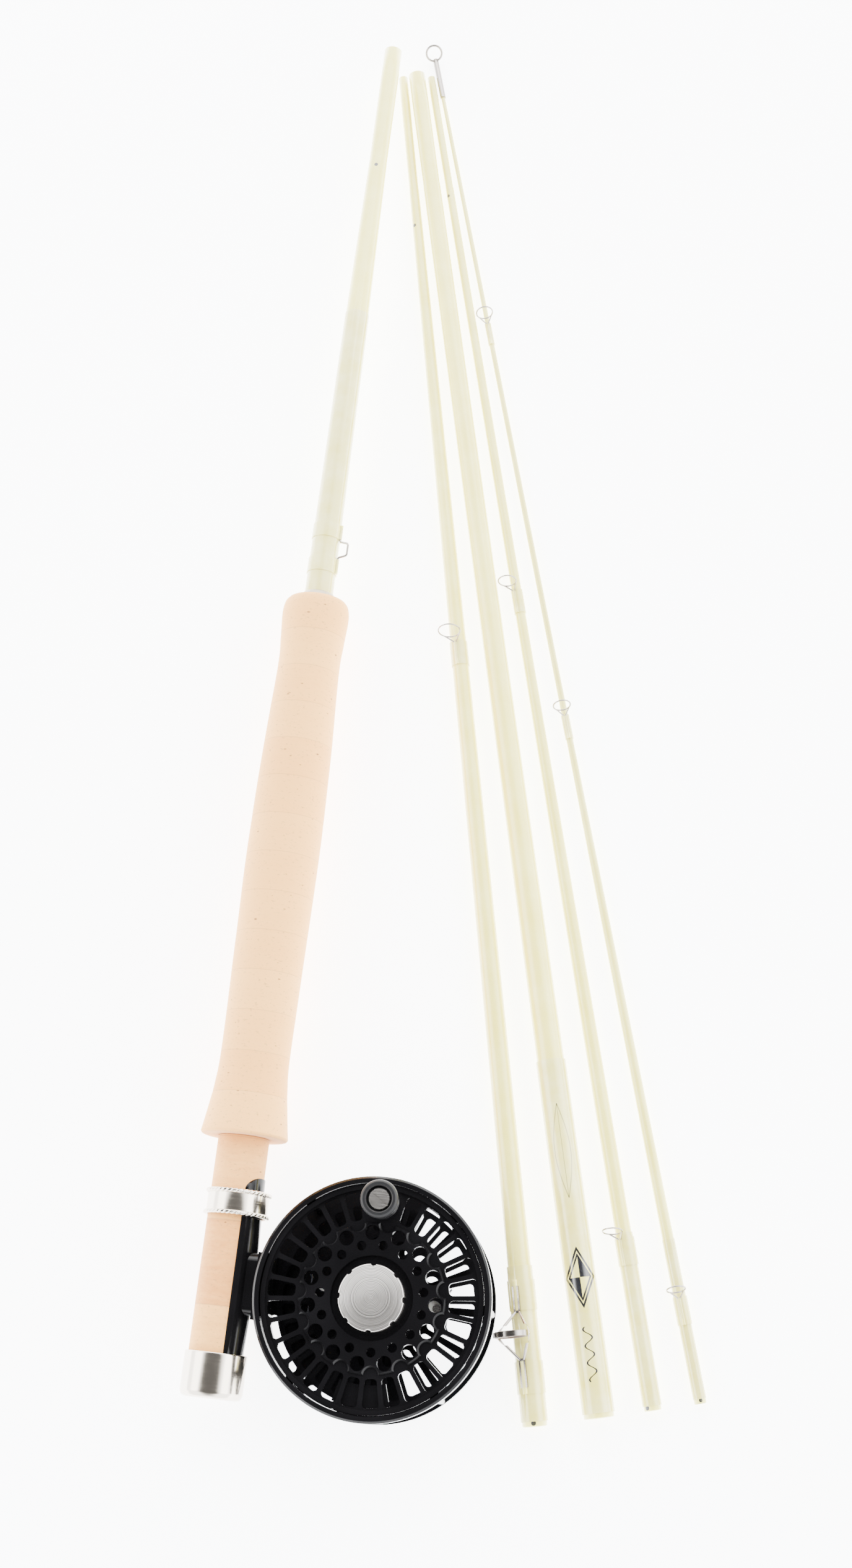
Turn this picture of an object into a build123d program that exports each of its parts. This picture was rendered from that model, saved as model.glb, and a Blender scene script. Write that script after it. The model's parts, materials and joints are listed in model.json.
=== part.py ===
"""Five-piece glass-fibre fly rod, taken apart and laid in a fan, with its click-pawl reel.

Row frame: the origin is on the spool's axis at the flat back of the reel, which rests on the
surface z = 0.  +Z runs along the spool's axis to the handle side and +Y along the butt section
towards its tip end.  Positions along a rod section are "stations", measured from its lower end.
"""
import os
from math import atan2, cos, degrees, radians, sin

from build123d import *

os.makedirs("parts", exist_ok=True)

# ---------------------------------------------------------------- driving dimensions, mm
FIT = 0.03                    # glue line or sliding fit between round parts

# rod layout: lower end (x, y), heading away from +Y towards -X in degrees, length
BUTT_X = -49.5
BUTT_Y = -36.0
BUTT_LENGTH = 505.0
THIRD_LOWER = (54.3, -32.8)
THIRD_HEADING = 11.43
THIRD_LENGTH = 509.0
SECOND_LOWER = (74.3, -28.0)
SECOND_HEADING = 13.13
SECOND_LENGTH = 508.0
FOURTH_LOWER = (91.0, -23.8)
FOURTH_HEADING = 14.46
FOURTH_LENGTH = 507.0
TIP_LOWER = (105.8, -20.0)
TIP_HEADING = 15.84
TIP_LENGTH = 505.0

# ferrules: the male end of each section is ground parallel and fits the next one's socket
MALE_LENGTH = 50.0
SOCKET_DEPTH = 52.0
BUTT_MALE_R = 3.38
SECOND_MALE_R = 3.22
THIRD_MALE_R = 1.78
FOURTH_MALE_R = 1.48

# reel seat and grip, stations along the butt section
CAP_LENGTH = 14.2
CAP_R = 10.15
CAP_WALL = 0.7
CAP_SHIFT = 0.6               # the cap's centre stands this much nearer the reel
INSERT_R = 8.5
INSERT_START = 1.6
BAND_START = 57.4
BAND_END = 65.7
BAND_R = 10.05
BAND_WALL = 0.55
BAND_SHIFT = 0.9
ROPE_R = 10.85
ROPE_WIDTH = 1.35
ROPE_STRANDS = 44
GRIP_START = 83.2
GRIP_END = 273.7
GRIP_RINGS = 14
GRIP_FLARE_R = 14.6
CHECK_END = 276.8
COAT_END = 389.4
COAT_THICKNESS = 0.22

# reel
REEL_R = 38.1
BACK_THICKNESS = 2.6
RING_BOTTOM = 21.5
RING_TOP = 26.2
RING_BORE_R = 36.0
PILLAR_ANGLES = (0, 50, 130, 230, 310)
PILLAR_RADIUS = 36.3
PILLAR_R = 1.7
PILLAR_TOP = 22.3
FOOT_SEAT_X = -38.3
SPINDLE_R = 3.0
BUSH_R = 5.0
SPOOL_FRONT_R = 35.6
SPOOL_REAR_R = 33.2
SPOOL_FRONT = 25.4
FRONT_FLANGE_BOTTOM = 22.7
REAR_FLANGE_BOTTOM = 5.8
REAR_FLANGE_TOP = 7.0
DRUM_R = 14.2
DRUM_WALL = 1.6
RUNNING = 0.04                # radial clearance of a running fit
GEAR_R = 12.1
GEAR_TEETH = 60
GEAR_BOTTOM = 4.0
GEAR_TOP = 5.6
PAWL_PIVOT_RADIUS = 19.0
PAWL_GAP = 0.15
HANDLE_RADIUS = 30.0
HUB_CAP_R = 10.5

AXIS_HEIGHT = GRIP_FLARE_R + 0.05    # the grip's rear flare rests on the surface


# ---------------------------------------------------------------- helpers
def save(piece, name):
    """Label a finished piece and write it as its own node."""
    piece.part.label = name
    export_step(piece.part, f"parts/{name}.step")


def save_group(pieces, name):
    """Write like pieces that stay separate solids as one node."""
    export_step(Compound(label=name, children=[piece.part for piece in pieces]), f"parts/{name}.step")


class SectionLine:
    """Centre line of one rod section, with the planes that its pieces are drawn on."""

    def __init__(self, lower, direction):
        self.lower = Vector(*lower)
        self.along = Vector(*direction).normalized()
        height = Vector(0, 0, 1)
        self.up = (height - self.along * height.dot(self.along)).normalized()
        self.left = self.up.cross(self.along)
        self.axis = Axis(self.lower, self.along)

    def profile(self):
        """Plane with x away from the axis and y along the section."""
        return Plane(origin=self.lower, x_dir=self.up, z_dir=self.left)

    def across(self, station, roll=0.0):
        """Plane across the section: x points up, rolled towards the left, z to the tip end."""
        outward = self.up * cos(radians(roll)) + self.left * sin(radians(roll))
        return Plane(origin=self.lower + self.along * station, x_dir=outward, z_dir=self.along)


def resting_line(lower, heading, length, low_r, low_length, top_r):
    """Line of a section that lies on z = 0 on its thick lower end and on its thin top."""
    slope = (low_r - top_r) / (length - low_length)
    direction = (-sin(radians(heading)), cos(radians(heading)), -slope)
    return SectionLine((lower[0], lower[1], low_r + slope * low_length), direction)


def interpolate(points, station):
    """Radius at a station of a list of (radius, station) points."""
    for (r_a, s_a), (r_b, s_b) in zip(points, points[1:]):
        if s_a <= station <= s_b:
            return r_a + (r_b - r_a) * (station - s_a) / (s_b - s_a)
    return points[-1][0]


def turned(line, outer, inner):
    """Turned or rolled tube: outer and inner are (radius, station) points going up."""
    with BuildPart() as piece:
        with BuildSketch(line.profile()):
            with BuildLine():
                Polyline(*outer, *reversed(inner), close=True)
            make_face()
        revolve(axis=line.axis)
    return piece


def sleeve(line, surface, start, end, thickness):
    """Thin coat or wrap that follows the outside of a blank from start to end."""
    stations = [start] + [s for _, s in surface if start < s < end] + [end]
    inner = [(interpolate(surface, s), s) for s in stations]
    outer = [(r + thickness, s) for r, s in inner]
    return turned(line, outer, inner)


def tapered_openings(angles, inner, outer, inner_width, outer_width, corner):
    """Sketch of radial openings that widen outwards, one at each angle."""
    taper = degrees(atan2(outer - inner, (outer_width - inner_width) / 2))
    with BuildSketch() as openings:
        for angle in angles:
            with PolarLocations((inner + outer) / 2, 1, start_angle=angle):
                Trapezoid(outer_width, outer - inner, taper, rotation=90)
        fillet(openings.vertices(), corner)
    return openings.sketch


def crescent(start, end, inner, outer):
    """Sketch of an arc-shaped opening with round ends, from one angle to another."""
    middle = (inner + outer) / 2
    with BuildSketch() as opening:
        SlotArc(CenterArc((0, 0), middle, start, end - start), outer - inner)
    return opening.sketch


def bar(start, end, radius):
    """Round wire from one point to another, joined to the part that is being built."""
    run = end - start
    with BuildSketch(Plane(origin=start, z_dir=run.normalized())) as section:
        Circle(radius)
    extrude(section.sketch, amount=run.length)


def ring_wire(plane, radius, wire):
    """Closed round ring of wire that lies in a plane."""
    with Locations(plane):
        Torus(radius, wire)


# ---------------------------------------------------------------- section lines and blanks
SECOND_COAT_END = 115.0
THIRD_WRAP_END = 50.0
WRAP_START = 1.5
FOURTH_WRAP_END = 56.0
TIP_WRAP_END = 52.0
TIP_TOP_END = 515.0

butt_line = SectionLine((BUTT_X, BUTT_Y, AXIS_HEIGHT), (0, 1, 0))
second_line = resting_line(SECOND_LOWER, SECOND_HEADING, SECOND_LENGTH, 5.3, 60, SECOND_MALE_R)
third_line = resting_line(THIRD_LOWER, THIRD_HEADING, THIRD_LENGTH, 4.75, 45, THIRD_MALE_R)
fourth_line = resting_line(FOURTH_LOWER, FOURTH_HEADING, FOURTH_LENGTH, 3.35, 57, FOURTH_MALE_R)
tip_line = resting_line(TIP_LOWER, TIP_HEADING, TIP_TOP_END, 2.45, 40, 1.25)

butt_surface = [(5.45, 2), (5.3, GRIP_START), (4.95, GRIP_END), (4.27, COAT_END), (3.45, 453),
                (BUTT_MALE_R, BUTT_LENGTH - MALE_LENGTH), (BUTT_MALE_R, BUTT_LENGTH)]
second_surface = [(4.85, 0), (4.8, 57), (4.6, SECOND_COAT_END), (4.05, 254), (3.32, 456),
                  (SECOND_MALE_R, SECOND_LENGTH - MALE_LENGTH), (SECOND_MALE_R, SECOND_LENGTH)]
third_surface = [(4.0, 0), (3.85, THIRD_WRAP_END), (3.0, 254), (1.88, 457),
                 (THIRD_MALE_R, THIRD_LENGTH - MALE_LENGTH), (THIRD_MALE_R, THIRD_LENGTH)]
fourth_surface = [(2.78, 0), (2.6, 94), (1.9, 254), (1.56, 455),
                  (FOURTH_MALE_R, FOURTH_LENGTH - MALE_LENGTH), (FOURTH_MALE_R, FOURTH_LENGTH)]
tip_surface = [(1.98, 0), (1.92, TIP_WRAP_END), (1.12, 250), (0.93, 400), (0.75, TIP_LENGTH)]


def socket_bore(male_r, inner_r, top_r, length):
    """Inside of a blank: a parallel socket, a short cone and the tapered hollow above it."""
    socket_r = male_r + FIT
    return [(socket_r, 0), (socket_r, SOCKET_DEPTH), (inner_r, SOCKET_DEPTH + 6), (top_r, length)]


butt_blank = turned(butt_line, butt_surface, [(4.1, 2), (3.6, GRIP_END), (2.3, BUTT_LENGTH)])
save(butt_blank, "butt_blank")
second_blank = turned(second_line, second_surface, socket_bore(BUTT_MALE_R, 3.1, 2.2, SECOND_LENGTH))
save(second_blank, "second_blank")
third_blank = turned(third_line, third_surface, socket_bore(SECOND_MALE_R, 2.8, 1.1, THIRD_LENGTH))
save(third_blank, "third_blank")
fourth_blank = turned(fourth_line, fourth_surface, socket_bore(THIRD_MALE_R, 1.5, 0.8, FOURTH_LENGTH))
save(fourth_blank, "fourth_blank")
tip_blank = turned(tip_line, tip_surface, socket_bore(FOURTH_MALE_R, 1.0, 0.3, TIP_LENGTH))
save(tip_blank, "tip_blank")

butt_coat = sleeve(butt_line, butt_surface, CHECK_END, COAT_END, COAT_THICKNESS)
save(butt_coat, "butt_clear_coat")
second_coat = sleeve(second_line, second_surface, WRAP_START, SECOND_COAT_END, 0.42)
save(second_coat, "second_clear_coat")
third_wrap = sleeve(third_line, third_surface, WRAP_START, THIRD_WRAP_END, 0.38)
save(third_wrap, "third_socket_wrap")
fourth_wrap = sleeve(fourth_line, fourth_surface, WRAP_START, FOURTH_WRAP_END, 0.32)
save(fourth_wrap, "fourth_socket_wrap")
tip_wrap = sleeve(tip_line, tip_surface, WRAP_START, TIP_WRAP_END, 0.17)
save(tip_wrap, "tip_socket_wrap")


# ---------------------------------------------------------------- grip
def grip_rings():
    """Cork grip as glued rings, bored to the blank's taper."""
    with BuildPart() as grip:
        with BuildSketch(butt_line.profile()):
            with BuildLine():
                Polyline((4.95, GRIP_END), (5.3, GRIP_START), (GRIP_FLARE_R - 0.8, GRIP_START),
                         (GRIP_FLARE_R - 0.1, GRIP_START + 0.7))
                Spline((GRIP_FLARE_R - 0.1, GRIP_START + 0.7), (13.85, 88), (13.1, 93), (12.2, 100),
                       (11.6, 112), (12.1, 150), (12.5, 182), (12.0, 216), (10.9, 248), (11.3, 259),
                       (11.85, 268), (11.4, 272), (10.4, GRIP_END))
                Line((10.4, GRIP_END), (4.95, GRIP_END))
            make_face()
        revolve(axis=butt_line.axis)
    pitch = (GRIP_END - GRIP_START) / GRIP_RINGS
    rings = []
    for index in range(GRIP_RINGS):
        start = GRIP_START + index * pitch
        with BuildPart() as ring:
            add(grip.part)
            if index:
                split(bisect_by=butt_line.across(start), keep=Keep.TOP)
            if index < GRIP_RINGS - 1:
                split(bisect_by=butt_line.across(start + pitch), keep=Keep.BOTTOM)
        rings.append(ring)
    return rings


save_group(grip_rings(), "cork_grip")

winding_check = turned(butt_line,
                       [(6.3, GRIP_END), (6.3, GRIP_END + 1.6), (5.6, CHECK_END)],
                       [(4.96, GRIP_END), (4.96, CHECK_END)])
save(winding_check, "winding_check")

# ---------------------------------------------------------------- hook keeper
KEEPER_WIRE = 0.38
KEEPER_ROLL = -75.0           # it stands out to the right of the blank
KEEPER_START = 285.7
KEEPER_END = 302.4
KEEPER_REACH = 3.3
keeper_surface = [(r + COAT_THICKNESS, s) for r, s in butt_surface]
keeper_base = interpolate(keeper_surface, KEEPER_START) + KEEPER_WIRE + 0.02
keeper_plane = Plane(origin=butt_line.lower, x_dir=butt_line.across(0, KEEPER_ROLL).x_dir,
                     z_dir=butt_line.across(0, KEEPER_ROLL).x_dir.cross(butt_line.along))
with BuildPart() as hook_keeper:
    with BuildLine(keeper_plane) as keeper_path:
        FilletPolyline((keeper_base, KEEPER_START), (keeper_base, 291.0), (keeper_base + KEEPER_REACH, 291.8),
                       (keeper_base + KEEPER_REACH, 296.4), (keeper_base, 297.2), (keeper_base, KEEPER_END),
                       radius=0.9)
    with BuildSketch(Plane(origin=keeper_path.line @ 0, z_dir=keeper_path.line % 0)):
        Circle(KEEPER_WIRE)
    sweep()
save(hook_keeper, "hook_keeper")


def foot_wrap(line, surface, start, end, roll, foot, foot_height, thickness=0.28):
    """Thread wrap and varnish over a wire foot: a sleeve with a rounded ridge along the foot."""
    base = max(interpolate(surface, start), interpolate(surface, end))
    with BuildPart() as wrap:
        with BuildSketch(line.across(start, roll)):
            Circle(base + thickness)
            with Locations((base + foot_height / 2, 0)):
                Circle(foot_height / 2 + thickness)
        extrude(amount=end - start)
        with BuildSketch(line.profile()):
            with BuildLine():
                Polyline((0, start - 1), (interpolate(surface, start), start - 1),
                         (interpolate(surface, start), start), (interpolate(surface, end), end),
                         (interpolate(surface, end), end + 1), (0, end + 1), close=True)
            make_face()
        revolve(axis=line.axis, mode=Mode.SUBTRACT)
        add(foot.part, mode=Mode.SUBTRACT)
    return wrap


keeper_wraps = [foot_wrap(butt_line, keeper_surface, start, end, KEEPER_ROLL, hook_keeper, 2 * KEEPER_WIRE)
                for start, end in ((KEEPER_START - 1, 290.2), (298.0, KEEPER_END + 1))]
save_group(keeper_wraps, "keeper_wraps")

# ---------------------------------------------------------------- reel seat
seat_insert = turned(butt_line, [(7.6, INSERT_START), (INSERT_R, INSERT_START + 1), (INSERT_R, GRIP_START)],
                     [(6.6, INSERT_START), (6.6, GRIP_START)])
save(seat_insert, "seat_insert")

ARBOR_LENGTH = 12.0
arbors = []
for arbor_start in (4.0, 36.0, 68.0):
    arbor_end = arbor_start + ARBOR_LENGTH
    arbors.append(turned(butt_line, [(6.6, arbor_start), (6.6, arbor_end)],
                         [(interpolate(butt_surface, arbor_start), arbor_start),
                          (interpolate(butt_surface, arbor_end), arbor_end)]))
save_group(arbors, "seat_arbors")

CAP_EDGE = 1.6
cap_line = SectionLine((BUTT_X + CAP_SHIFT, BUTT_Y, AXIS_HEIGHT), (0, 1, 0))
with BuildPart() as butt_cap:
    with BuildSketch(cap_line.profile()):
        with BuildLine():
            Polyline((0, 0), (CAP_R - CAP_EDGE, 0), (CAP_R, CAP_EDGE), (CAP_R, CAP_LENGTH),
                     (CAP_R - CAP_WALL, CAP_LENGTH), (CAP_R - CAP_WALL, 1.3), (0, 1.3), close=True)
        make_face()
    revolve(axis=cap_line.axis)
    fillet(butt_cap.edges().filter_by(GeomType.CIRCLE).group_by(Axis.Y)[0], 0.5)
save(butt_cap, "butt_cap")

band_line = SectionLine((BUTT_X + BAND_SHIFT, BUTT_Y, AXIS_HEIGHT), (0, 1, 0))
BAND_BORE = BAND_R - BAND_WALL
slide_band = turned(band_line, [(BAND_R, BAND_START), (BAND_R, BAND_END)],
                    [(BAND_BORE, BAND_START), (BAND_BORE, BAND_END)])
save(slide_band, "slide_band")


def rope_ring(start):
    """Ring with slanted beads round its edge, like a twisted cord."""
    with BuildPart() as ring:
        with BuildSketch(band_line.across(start)):
            Circle(ROPE_R - 0.3)
            Circle(BAND_R, mode=Mode.SUBTRACT)
        extrude(amount=ROPE_WIDTH)
        with BuildSketch(band_line.across(start)):
            with PolarLocations(ROPE_R - 0.35, ROPE_STRANDS):
                Circle(0.35)
        extrude(amount=ROPE_WIDTH)
    return ring


save_group([rope_ring(BAND_START), rope_ring(BAND_END - ROPE_WIDTH)], "band_rope_rings")

# ---------------------------------------------------------------- reel foot
FOOT_START = 3.5
FOOT_END = 70.1
FOOT_INNER_R = INSERT_R + FIT
FOOT_R = 9.7
FOOT_SCREW_STATIONS = (31.5, 41.5)
FOOT_MIDDLE = (FOOT_START + FOOT_END) / 2
FOOT_END_R = 8.9
FOOT_WIDTH = 15.0
FOOT_CORNER = 4.0
PEDESTAL_START = 26.6
PEDESTAL_END = 46.4
PEDESTAL_WIDTH = 12.0
SCREW_R = 1.0
SCREW_HEAD_R = 1.9

with BuildPart() as reel_foot:
    with BuildSketch(butt_line.profile()):
        with BuildLine():
            Polyline((FOOT_INNER_R, FOOT_START), (FOOT_END_R, FOOT_START), (FOOT_R, PEDESTAL_START),
                     (FOOT_R, PEDESTAL_END), (FOOT_END_R, FOOT_END), (FOOT_INNER_R, FOOT_END), close=True)
        make_face()
    revolve(axis=butt_line.axis)
    with BuildSketch(Plane.YZ.offset(BUTT_X)):
        with Locations((BUTT_Y + FOOT_MIDDLE, AXIS_HEIGHT)):
            RectangleRounded(FOOT_END - FOOT_START, FOOT_WIDTH, FOOT_CORNER)
    extrude(amount=2 * INSERT_R, mode=Mode.INTERSECT)
    with BuildSketch(Plane.YZ.offset(FOOT_SEAT_X)):
        with Locations((BUTT_Y + (PEDESTAL_START + PEDESTAL_END) / 2, AXIS_HEIGHT)):
            RectangleRounded(PEDESTAL_END - PEDESTAL_START, PEDESTAL_WIDTH, 3)
    extrude(amount=-4.5)
    with BuildSketch(butt_line.across(0)):
        Circle(FOOT_INNER_R)
    extrude(amount=FOOT_END, mode=Mode.SUBTRACT)
    for screw_station in FOOT_SCREW_STATIONS:
        with Locations(Plane(origin=(BUTT_X + FOOT_INNER_R, BUTT_Y + screw_station, AXIS_HEIGHT),
                             x_dir=(0, 1, 0), z_dir=(-1, 0, 0))):
            CounterSinkHole(SCREW_R + FIT, SCREW_HEAD_R + 0.15, depth=6)
save(reel_foot, "reel_foot")

FOOT_SCREW_LENGTH = 5.2


def foot_screw(station):
    """Countersunk slotted screw that holds the foot to the frame."""
    head = Plane(origin=(BUTT_X + FOOT_INNER_R + 0.15, BUTT_Y + station, AXIS_HEIGHT),
                 x_dir=(0, 1, 0), z_dir=(1, 0, 0))
    with BuildPart() as screw:
        with BuildSketch(head):
            Circle(SCREW_HEAD_R)
        with BuildSketch(head.offset(SCREW_HEAD_R - SCREW_R)):
            Circle(SCREW_R)
        loft()
        with BuildSketch(head.offset(SCREW_HEAD_R - SCREW_R)):
            Circle(SCREW_R)
        extrude(amount=FOOT_SCREW_LENGTH - SCREW_HEAD_R + SCREW_R)
        with BuildSketch(head):
            Rectangle(4, 0.45)
        extrude(amount=0.45, mode=Mode.SUBTRACT)
    return screw


foot_screws = [foot_screw(station) for station in FOOT_SCREW_STATIONS]
save_group(foot_screws, "foot_screws")

# ---------------------------------------------------------------- reel frame
FOOT_SEAT_HALF = 10.6
FOOT_SEAT_INNER_X = -34.7
PORT_COUNT = 15
BACK_OPENING_ANGLES = (-60, -36, -12, 12, 36, 60)
BACK_OPENINGS = (17.0, 34.0, 5.6, 11.6, 1.6)  # inner and outer radius, inner and outer width, corner
BACK_CRESCENTS = ((195, 222), (238, 252))     # first and last angle
BACK_CRESCENT_RADII = (33.4, 36.4)
with BuildPart() as reel_frame:
    with BuildSketch():
        Circle(REEL_R)
        with PolarLocations(13.2, PORT_COUNT, start_angle=12):
            Circle(1.4, mode=Mode.SUBTRACT)
    extrude(amount=BACK_THICKNESS)
    extrude(tapered_openings(BACK_OPENING_ANGLES, *BACK_OPENINGS), amount=BACK_THICKNESS, mode=Mode.SUBTRACT)
    for crescent_start, crescent_end in BACK_CRESCENTS:
        extrude(crescent(crescent_start, crescent_end, *BACK_CRESCENT_RADII), amount=BACK_THICKNESS,
                mode=Mode.SUBTRACT)
    with BuildSketch():
        with PolarLocations(PAWL_PIVOT_RADIUS, 2):
            Circle(2.6)
    extrude(amount=BACK_THICKNESS)
    with BuildSketch(Plane.XY.offset(RING_BOTTOM)):
        Circle(REEL_R)
        Circle(RING_BORE_R, mode=Mode.SUBTRACT)
    extrude(amount=RING_TOP - RING_BOTTOM)
    with BuildSketch():
        for angle in PILLAR_ANGLES:
            with PolarLocations(PILLAR_RADIUS, 1, start_angle=angle):
                Circle(PILLAR_R)
    extrude(amount=PILLAR_TOP)
    with BuildSketch(Plane.XY.offset(BACK_THICKNESS - 0.5)):
        with Locations(((FOOT_SEAT_X + FOOT_SEAT_INNER_X) / 2, 0)):
            Rectangle(FOOT_SEAT_INNER_X - FOOT_SEAT_X, 2 * FOOT_SEAT_HALF)
    extrude(amount=PILLAR_TOP - BACK_THICKNESS + 0.5)
    chamfer(reel_frame.faces().sort_by(Axis.Z)[-1].outer_wire().edges(), 0.7)
    for screw_station in FOOT_SCREW_STATIONS:
        with Locations(Plane(origin=(FOOT_SEAT_X, BUTT_Y + screw_station, AXIS_HEIGHT),
                             x_dir=(0, 1, 0), z_dir=(-1, 0, 0))):
            Hole(SCREW_R, depth=5)
save(reel_frame, "reel_frame")

# ---------------------------------------------------------------- spindle, pawls and springs
SPINDLE_FLANGE_R = 9.0
SPINDLE_FLANGE_TOP = 3.1
BUSH_BOTTOM = 3.2
BUSH_TOP = 20.5
with BuildPart() as spindle:
    with BuildSketch(Plane.XY.offset(BACK_THICKNESS)):
        Circle(SPINDLE_FLANGE_R)
        with PolarLocations(7.2, 3):
            Circle(0.95, mode=Mode.SUBTRACT)
    extrude(amount=SPINDLE_FLANGE_TOP - BACK_THICKNESS)
    with BuildSketch(Plane.XY.offset(SPINDLE_FLANGE_TOP)):
        Circle(SPINDLE_R)
    extrude(amount=BUSH_TOP - SPINDLE_FLANGE_TOP)
    chamfer(spindle.faces().sort_by(Axis.Z)[-1].edges(), 0.6)
save(spindle, "spindle")

spindle_screws = []
for screw_place in PolarLocations(7.2, 3):
    with BuildPart() as spindle_screw:
        with BuildSketch(Plane(screw_place).offset(BACK_THICKNESS)):
            Circle(0.9)
        extrude(amount=SPINDLE_FLANGE_TOP - BACK_THICKNESS)
        with BuildSketch(Plane(screw_place).offset(SPINDLE_FLANGE_TOP)):
            Circle(1.5)
            Rectangle(4, 0.35, mode=Mode.SUBTRACT)
        extrude(amount=0.5)
    spindle_screws.append(spindle_screw)

PAWL_BORE_R = 1.24
PAWL_POST_R = 1.2
PAWL_TOP = 5.2
PAWL_BOTTOM = 3.6
PAWL_SIDES = (0, 180)
pawl_posts = []
click_springs = []
for side in PAWL_SIDES:
    pivot = Plane(PolarLocations(PAWL_PIVOT_RADIUS, 1, start_angle=side).locations[0])
    with BuildPart() as pawl_post:
        with BuildSketch(pivot.offset(BACK_THICKNESS)):
            Circle(2.0)
        extrude(amount=PAWL_BOTTOM - BACK_THICKNESS - 0.1)
        with BuildSketch(pivot.offset(PAWL_BOTTOM - 0.1)):
            Circle(PAWL_POST_R)
        extrude(amount=PAWL_TOP - PAWL_BOTTOM + 0.3)
    pawl_posts.append(pawl_post)
    with BuildPart() as click_spring:
        with BuildSketch(pivot.offset(BACK_THICKNESS)):
            with BuildLine():
                Polyline((4.2, -6.5), (3.6, -5.5), (3.6, 5.5), (4.2, 6.5))
                offset(amount=0.2)
            make_face()
        extrude(amount=PAWL_TOP - BACK_THICKNESS)
    click_springs.append(click_spring)

    name = "click_pawl_front" if side == 0 else "click_pawl_rear"
    tip = -(PAWL_PIVOT_RADIUS - GEAR_R - PAWL_GAP)
    with BuildPart() as click_pawl:
        with BuildSketch(pivot.offset(PAWL_BOTTOM)):
            Circle(2.5)
            with BuildLine():
                Polyline((0, -2.5), (-2.5, -2.3), (tip, 0), (-2.5, 2.3), (0, 2.5), close=True)
            make_face()
            Circle(PAWL_BORE_R, mode=Mode.SUBTRACT)
        extrude(amount=PAWL_TOP - PAWL_BOTTOM)
    save(click_pawl, name)
save_group(spindle_screws, "spindle_screws")
save_group(pawl_posts, "pawl_posts")
save_group(click_springs, "click_springs")

# ---------------------------------------------------------------- spool and what turns with it
SPOOL_PORTS = 30
PORT_OUTER = 33.6
FRONT_PORTS = (24.6, PORT_OUTER, 3.7, 5.5, 1.3)   # as for the back's openings
REAR_PORTS = (22.6, 31.4, 3.4, 5.2, 1.2)
REAR_HOLE_RADIUS = 18.4
INNER_PORT_RADIUS = 20.4
INNER_PORT_R = 2.35
HUB_PORT_RADIUS = 16.6
HUB_PORT_R = 1.5
STEP_R = 23.6
STEP_DEPTH = 1.0
STEP_CHAMFER = 0.6
HUB_RECESS_R = 13.2
HUB_RECESS_FLOOR = 23.4
HANDLE_ANGLE = 90
HANDLE_PAD_R = 5.6
handle_place = Plane(PolarLocations(HANDLE_RADIUS, 1, start_angle=HANDLE_ANGLE).locations[0])

with BuildPart() as spool_bush:
    with BuildSketch(Plane.XY.offset(BUSH_BOTTOM)):
        Circle(BUSH_R)
        Circle(SPINDLE_R + RUNNING, mode=Mode.SUBTRACT)
    extrude(amount=BUSH_TOP - BUSH_BOTTOM)
save(spool_bush, "spool_bush")

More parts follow.
